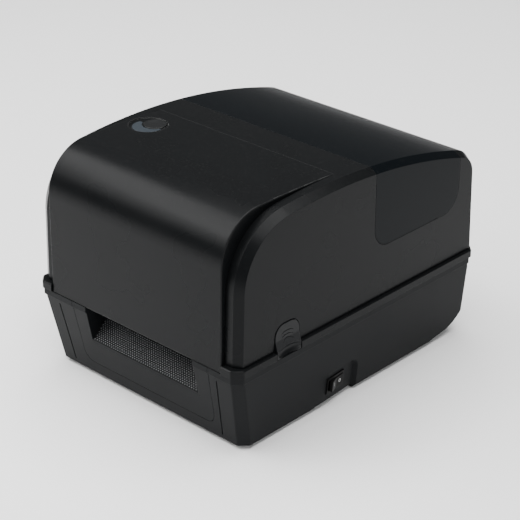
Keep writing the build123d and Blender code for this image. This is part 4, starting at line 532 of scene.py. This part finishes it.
def rocker_half(front):
    """Middle and outward normal of one half of the rocker's face."""
    low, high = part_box("power_rocker")
    middle_y = (low[1] + high[1]) / 2
    area = 0.0
    middle = Vector((0, 0, 0))
    normal = Vector((0, 0, 0))
    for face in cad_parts["power_rocker"].data.polygons:
        if face.normal.x > OUTWARD and (face.center.y < middle_y) == front:
            area += face.area
            middle += face.center * face.area
            normal += face.normal * face.area
    return middle / area, normal.normalized()


def on_rocker(mark, front):
    """Lay a flat mark, drawn about the origin, on a half of the rocker."""
    middle, normal = rocker_half(front)
    mark.data.transform(normal.to_track_quat("Z", "Y").to_matrix().to_4x4())
    mark.data.transform(Matrix.Translation(middle + normal * MARK_LIFT))


bpy.ops.object.select_all(action="DESELECT")
bpy.ops.mesh.primitive_cube_add(size=1.0, location=(0, 0, 0),
                                scale=(MARK_TALL, MARK_WIDE, MARK_THICK))
bar_mark = bpy.context.object
bpy.ops.object.transform_apply(location=True, rotation=False, scale=True)
soften = bar_mark.modifiers.new("soften", "BEVEL")
soften.width = MARK_EDGE
soften.segments = 2
bpy.ops.object.modifier_apply(modifier=soften.name)
bar_mark.data.transform(Matrix.Rotation(pi / 2, 4, "Z"))
on_rocker(bar_mark, True)
bpy.ops.object.select_all(action="DESELECT")
bpy.ops.mesh.primitive_torus_add(major_radius=MARK_RING, minor_radius=RING_LINE,
                                 major_segments=32, minor_segments=8, location=(0, 0, 0))
ring_mark = bpy.context.object
bpy.ops.object.mode_set(mode="EDIT")
bpy.ops.transform.resize(value=RING_SHAPE)
bpy.ops.object.mode_set(mode="OBJECT")
on_rocker(ring_mark, False)
settle(joined([bar_mark, ring_mark], "rocker_marks"), mark_white, "rocker")


# ---- Platen drive ------------------------------------------------------------------------------
# Pressed zinc-plated frames carry the ground rubber platen in acetal bushes. A stepper motor
# with a brass pinion turns it through an acetal idler.
zinc_sheet = worked_metal("zinc_sheet", (0.40, 0.41, 0.42, 1), (0.54, 0.55, 0.56, 1), rough=0.42,
                          line=0.0006, length=0.006, stain=0.006)
dress(zinc_sheet, "platen_frame_left", "platen_frame_right")
ground_rod = worked_metal("ground_rod", (0.52, 0.53, 0.54, 1), (0.62, 0.63, 0.64, 1), rough=0.2,
                          line=0.004, length=0.00012, stain=0.02, depth=0.000003)
dress(ground_rod, "platen_shaft", "motor_shaft", "gear_posts")
platen_rubber = moulded_plastic("ground_platen_rubber", grey(0.018), grey(0.026), gloss=0.62,
                                grain=0.00025, depth=0.00003, dust=0.02, polish_and_highlight=0.1)
dress(platen_rubber, "platen_roller")
acetal = moulded_plastic("natural_acetal", (0.56, 0.55, 0.50, 1), (0.66, 0.65, 0.60, 1), gloss=0.4,
                         grain=0.0012, depth=0.00001, dust=0.04, polish_and_highlight=0.1, shine=0.4)
dress(acetal, "platen_bushes", "platen_gear", "idler_gear")
machined_brass = worked_metal("machined_brass", (0.60, 0.42, 0.16, 1), (0.74, 0.56, 0.25, 1),
                              rough=0.28, line=0.003, length=0.00015, stain=0.004,
                              depth=0.000004)
dress(machined_brass, "motor_pinion", "ribbon_pinion")
END_CAP = 0.24
LAMINATION = 0.0005
CAST_DARK = (0.42, 0.43, 0.44, 1)
CAST_LIGHT = (0.55, 0.56, 0.57, 1)
CORE_BLACK = (0.02, 0.02, 0.022, 1)
CAST_ROUGH = 0.38
CAST_SPREAD = 0.2


def banded_motor(name, low, high):
    """Motor finish: black laminated core between two cast end caps."""
    material, tree, shader = new_material(name)
    place = tree.nodes.new("ShaderNodeTexCoord")
    split = tree.nodes.new("ShaderNodeSeparateXYZ")
    tree.links.new(place.outputs["Object"], split.inputs["Vector"])
    cap = (high[0] - low[0]) * END_CAP
    inward = value_node(tree, "SUBTRACT", split.outputs["X"], low[0] + cap)
    outward = value_node(tree, "SUBTRACT", high[0] - cap, split.outputs["X"])
    core = value_node(tree, "GREATER_THAN", value_node(tree, "MINIMUM", inward, outward), 0.0)
    work = place_effect(tree, METAL, Line_Size=0.0004, Line_Length=0.0004, Stain_Size=0.004)
    cast = blend_colour(tree, work.outputs["Stains"], CAST_DARK, CAST_LIGHT)
    final = blend_colour(tree, core, cast, CORE_BLACK)
    sheets = value_node(tree, "FRACT", value_node(tree, "DIVIDE", split.outputs["X"], LAMINATION))
    rough = value_node(tree, "MULTIPLY_ADD", work.outputs["Stains"], CAST_SPREAD, CAST_ROUGH)
    finish_surface(tree, shader, final, rough, value_node(tree, "MULTIPLY", core, sheets), 0.00005,
                   metallic=value_node(tree, "SUBTRACT", 1.0, core))
    return material


dress(banded_motor("feed_motor_finish", *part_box("stepper_motor")), "stepper_motor")


# ---- Tear bar and label sensor -----------------------------------------------------------------
# The tear bar is brushed stainless strip. The gap sensor slides in a black carriage along a
# ground steel rod between two moulded brackets.
brushed_stainless = worked_metal("brushed_stainless", (0.50, 0.51, 0.52, 1), (0.60, 0.61, 0.62, 1),
                                 rough=0.3, line=0.00015, length=0.03, depth=0.000006)
dress(brushed_stainless, "tear_bar")
dress(ground_rod, "sensor_rod")
inner_plastic = moulded_plastic("inner_plastic", grey(0.045, 0.04), grey(0.06, 0.04), gloss=0.5,
                                polish_and_highlight=0.2, shine=0.3)
carriage_plastic = moulded_plastic("carriage_plastic", grey(0.010), grey(0.014), gloss=0.45,
                                   shine=0.3)
dress(inner_plastic, "sensor_brackets")
dress(carriage_plastic, "sensor_carriage")


# ---- Media bay ---------------------------------------------------------------------------------
# A grey moulded tray holds the label roll. Its two guides slide on racks under the floor of the
# tray, and one acetal pinion between the racks ties them together.
dress(inner_plastic, "media_tray", "media_guide_left", "media_guide_right")
dress(acetal, "guide_pinion")


# ---- Main board and sockets --------------------------------------------------------------------
# Glass fibre board with green solder mask over copper tracks, black and silver parts soldered on,
# and the sockets that reach the rear plate.
TRACK_SCALE = 260.0
TRACK_SHARE = 0.06
PAD_SCALE = 320.0
PAD_SHARE = 0.16
MASK_GREEN = (0.008, 0.085, 0.035, 1)
TRACK_GREEN = (0.03, 0.19, 0.08, 1)
PAD_GOLD = (0.62, 0.50, 0.26, 1)
WEAVE_RISE = 0.3
BOARD_ROUGH = 0.25
BOARD_SPREAD = 0.1


def circuit_board(name, across):
    """Solder mask over tracks: stepped tracks, drilled pads and the weave of the board."""
    material, tree, shader = new_material(name, IOR=1.5, Specular_IOR_Level=0.5)
    place = tree.nodes.new("ShaderNodeTexCoord")
    turn = tree.nodes.new("ShaderNodeMapping")
    turn.inputs["Rotation"].default_value = (pi / 2, 0, 0) if across else (0, 0, 0)
    tree.links.new(place.outputs["Object"], turn.inputs["Vector"])
    tracks = tree.nodes.new("ShaderNodeTexBrick")
    tracks.inputs["Scale"].default_value = TRACK_SCALE
    tracks.inputs["Mortar Size"].default_value = TRACK_SHARE
    tracks.inputs["Color1"].default_value = (0, 0, 0, 1)
    tracks.inputs["Color2"].default_value = (0, 0, 0, 1)
    tracks.inputs["Mortar"].default_value = (1, 1, 1, 1)
    tree.links.new(turn.outputs["Vector"], tracks.inputs["Vector"])
    pads = tree.nodes.new("ShaderNodeTexVoronoi")
    pads.inputs["Scale"].default_value = PAD_SCALE
    tree.links.new(turn.outputs["Vector"], pads.inputs["Vector"])
    grains = place_effect(tree, GRAIN, Grain_Size=0.0008, Unevenness_Size=0.01)
    routed = value_node(tree, "GREATER_THAN", grains.outputs["Unevenness"], 0.5)
    track = value_node(tree, "MULTIPLY", tracks.outputs["Fac"], routed)
    pad = value_node(tree, "LESS_THAN", pads.outputs["Distance"], PAD_SHARE)
    mask = blend_colour(tree, track, MASK_GREEN, TRACK_GREEN)
    final = blend_colour(tree, pad, mask, PAD_GOLD)
    weave = value_node(tree, "MULTIPLY", grains.outputs["Height"], WEAVE_RISE)
    rough = value_node(tree, "MULTIPLY_ADD", grains.outputs["Height"], BOARD_SPREAD, BOARD_ROUGH)
    finish_surface(tree, shader, final, rough, value_node(tree, "ADD", track, weave), 0.00003,
                   metallic=pad)
    return material


dress(circuit_board("upright_board", True), "main_board")
dress(circuit_board("flat_board", False), "button_board")
dress(machined_brass, "board_posts")
part_epoxy = moulded_plastic("part_epoxy", grey(0.012), grey(0.02), gloss=0.5, grain=0.0003,
                             shine=0.3)
dress(part_epoxy, "board_parts", "dc_jack")
tinned_shell = worked_metal("tinned_shell", (0.48, 0.48, 0.49, 1), (0.62, 0.62, 0.63, 1), rough=0.3,
                            line=0.0004, length=0.004, stain=0.004)
dress(tinned_shell, "usb_port", "network_port")

# Eight sprung contact wires in the network socket, bent down towards its mouth.
WIRE_COUNT = 8
WIRE_PITCH = 0.00102
WIRE_THICK = 0.0004
WIRE_LENGTH = 0.0078
WIRE_BEND_FROM = 0.0025
WIRE_SLOPE = 0.45
WIRE_INSET = 0.0052
WIRE_DROP = 0.0045
socket_low, socket_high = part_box("network_port")
socket_x = (socket_low[0] + socket_high[0]) / 2
bpy.ops.object.select_all(action="DESELECT")
bpy.ops.mesh.primitive_cube_add(size=1.0, location=(0, 0, 0),
                                scale=(WIRE_THICK, WIRE_LENGTH, WIRE_THICK))
contact_wires = bpy.context.object
bpy.ops.object.transform_apply(location=True, rotation=False, scale=True)
bpy.ops.object.mode_set(mode="EDIT")
bpy.ops.mesh.subdivide(number_cuts=3)
bpy.ops.mesh.select_all(action="DESELECT")
bpy.ops.object.mode_set(mode="OBJECT")
for corner in contact_wires.data.vertices:
    corner.co.z -= max(0.0, WIRE_BEND_FROM - corner.co.y) * WIRE_SLOPE
row_of(contact_wires, WIRE_COUNT, (WIRE_PITCH, 0, 0))
first_wire = (socket_x - (WIRE_COUNT - 1) * WIRE_PITCH / 2, socket_high[1] - WIRE_INSET,
              socket_high[2] - WIRE_DROP)
contact_wires.data.transform(Matrix.Translation(first_wire))
contact_wires.name = "contact_wires"
gold_plate = worked_metal("gold_plate", (0.75, 0.55, 0.22, 1), (0.85, 0.65, 0.30, 1), rough=0.2,
                          line=0.0005, length=0.002, stain=0.002, depth=0.000002)
settle(contact_wires, gold_plate, "base")


# ---- Hinge -------------------------------------------------------------------------------------
# Two hinges of pressed steel, zinc plated, with knuckles that turn on plain steel pins. The
# brackets are fixed in the base and the leaves in the lid.
dress(zinc_sheet, "hinge_brackets", "lid_hinge_leaves")
dress(ground_rod, "hinge_pins")


# ---- Lid mouldings -----------------------------------------------------------------------------
# Ledge frame, cover and raised centre panel in the same black ABS as the base, but glossier. The
# rim of the panel is thin and polished by handling, and its colour is lightened into a bright
# painted highlight line.
# Frame and cover edges are lightened a little in colour as a painted highlight.
lid_plastic = moulded_plastic("lid_plastic", grey(0.0034, 0.12), grey(0.0044, 0.10), gloss=0.28,
                              polish_and_highlight=0.3, edge=0.0004, shine=0.085, painted_rim_highlight=0.02)
dress(lid_plastic, "lid_frame", "cover_shell")
panel_plastic_painted_highlight = moulded_plastic("panel_plastic_painted_highlight", grey(0.0034, 0.12), grey(0.0044, 0.10), gloss=0.28,
                                polish_and_highlight=1.0, edge=0.0007, shine=0.085, painted_rim_highlight=0.12)
dress(panel_plastic_painted_highlight, "centre_panel")


# ---- Feed button and status light --------------------------------------------------------------
# A round dished button in the same black plastic, and a crescent light pipe of frosted
# blue-grey polycarbonate, unlit.
button_plastic = moulded_plastic("button_plastic", grey(0.005, 0.08), grey(0.007, 0.08),
                                 gloss=0.34, polish_and_highlight=0.6, shine=0.2)
dress(button_plastic, "feed_button")
PIPE_DARK = (0.011, 0.016, 0.021, 1)
PIPE_LIGHT = (0.015, 0.021, 0.028, 1)
light_pipe = moulded_plastic("frosted_light_pipe", PIPE_DARK, PIPE_LIGHT, gloss=0.42,
                             grain=0.0004, depth=0.00002, dust=0.02, polish_and_highlight=0.2, shine=0.3)
dress(light_pipe, "status_light")


# ---- Smoked window -----------------------------------------------------------------------------
# One sheet of dark smoked polycarbonate, bent over the roof and both sides and set flush in the
# cover. It is polished, with faint hairlines from wiping.
SMOKE_DARK = (0.0018, 0.0026, 0.0034, 1)
SMOKE_LIGHT = (0.0026, 0.0036, 0.0046, 1)
SMOKE_EDGE_HIGHLIGHT = (0.02, 0.025, 0.03, 1)
SMOKE_DUST = (0.40, 0.40, 0.38, 1)
EDGE_HIGHLIGHT_SHARE = 0.4
SHEET_ROUGH = 0.12
SHEET_SPREAD = 0.08


def smoked_sheet():
    """Polished dark sheet: hairlines in gloss and bump, edges lightened in colour as a painted
    highlight, little dust.
    """
    material, tree, shader = new_material("smoked_polycarbonate", IOR=1.55, Specular_IOR_Level=0.05)
    grains = place_effect(tree, GRAIN, Grain_Size=0.003, Unevenness_Size=0.09)
    hair = place_effect(tree, METAL, Line_Size=0.0009, Line_Length=0.05, Stain_Size=0.06)
    edges = place_effect(tree, EDGE, Radius=0.0005, Strength=EDGE_GAIN)
    dusty = place_effect(tree, DUST, Amount=0.004, Speck_Size=0.0025)
    base = blend_colour(tree, grains.outputs["Unevenness"], SMOKE_DARK, SMOKE_LIGHT)
    # Edges are lightened in colour as a painted highlight.
    highlit_edge_share = value_node(tree, "MULTIPLY", edges.outputs["Mask"], EDGE_HIGHLIGHT_SHARE)
    painted_rim_highlight = blend_colour(tree, highlit_edge_share, base, SMOKE_EDGE_HIGHLIGHT)
    final = blend_colour(tree, dusty.outputs["Mask"], painted_rim_highlight, SMOKE_DUST)
    rough = value_node(tree, "MULTIPLY_ADD", hair.outputs["Height"], SHEET_SPREAD, SHEET_ROUGH)
    finish_surface(tree, shader, final, rough, hair.outputs["Height"], 0.000004,
                   normal=edges.outputs["Normal"])
    return material


dress(smoked_sheet(), "smoked_window")


# ---- Side latches ------------------------------------------------------------------------------
# Sprung latches moulded in black plastic turn on plain steel pins in brackets inside the lid.
# Their hooks close just above keeper blocks fixed to the walls of the base.
latch_plastic = moulded_plastic("latch_plastic", grey(0.005, 0.10), grey(0.007, 0.10), gloss=0.36,
                                polish_and_highlight=0.5, shine=0.14)
dress(latch_plastic, "latch_left", "latch_right")
dress(inner_plastic, "latch_brackets", "latch_keepers")
dress(ground_rod, "latch_pins")


# ---- Print module ------------------------------------------------------------------------------
# Zinc-plated side plates and a cross plate under the cover, with guide bars for the ribbon. The
# print head is an aluminium heat sink with a white ceramic strip along its lower face.
dress(zinc_sheet, "module_sides", "module_cross_plate", "head_bracket")
dress(ground_rod, "ribbon_guide_bars", "head_pivot_rod")
spring_wire = worked_metal("spring_wire", (0.42, 0.43, 0.44, 1), (0.52, 0.53, 0.54, 1), rough=0.3,
                           line=0.0003, length=0.0003, stain=0.003, depth=0.000003)
dress(spring_wire, "head_springs")
CERAMIC_TALL = 0.0022
HEATER_INSET = 0.0045
HEATER_HALF = 0.0006
SINK_DARK = (0.50, 0.51, 0.52, 1)
SINK_LIGHT = (0.62, 0.63, 0.64, 1)
GLAZE_WHITE = (0.78, 0.77, 0.72, 1)
HEATER_BROWN = (0.10, 0.07, 0.04, 1)
SINK_ROUGH = 0.25
SINK_SPREAD = 0.2


def head_finish():
    """Anodised sink above, glazed ceramic with its dark heater line below."""
    material, tree, shader = new_material("print_head_finish")
    low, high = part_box("print_head")
    place = tree.nodes.new("ShaderNodeTexCoord")
    split = tree.nodes.new("ShaderNodeSeparateXYZ")
    tree.links.new(place.outputs["Object"], split.inputs["Vector"])
    ceramic = value_node(tree, "LESS_THAN", split.outputs["Z"], low[2] + CERAMIC_TALL)
    offset = value_node(tree, "SUBTRACT", split.outputs["Y"], low[1] + HEATER_INSET)
    heater = value_node(tree, "LESS_THAN", value_node(tree, "ABSOLUTE", offset), HEATER_HALF)
    work = place_effect(tree, METAL, Line_Size=0.0003, Line_Length=0.02, Stain_Size=0.008)
    sink = blend_colour(tree, work.outputs["Stains"], SINK_DARK, SINK_LIGHT)
    glazed = blend_colour(tree, ceramic, sink, GLAZE_WHITE)
    burnt = value_node(tree, "MULTIPLY", ceramic, heater)
    final = blend_colour(tree, burnt, glazed, HEATER_BROWN)
    rough = value_node(tree, "MULTIPLY_ADD", work.outputs["Stains"], SINK_SPREAD, SINK_ROUGH)
    finish_surface(tree, shader, final, rough, work.outputs["Height"], 0.00001,
                   metallic=value_node(tree, "SUBTRACT", 1.0, ceramic))
    return material


dress(head_finish(), "print_head")


# ---- Ribbon drive ------------------------------------------------------------------------------
# Black moulded ribbon spindles. The take-up one is turned by a small motor, a brass pinion and
# an acetal gear.
dress(carriage_plastic, "ribbon_supply_spindle", "ribbon_takeup_spindle")
dress(acetal, "takeup_gear")
dress(banded_motor("ribbon_motor_finish", *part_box("ribbon_motor")), "ribbon_motor")
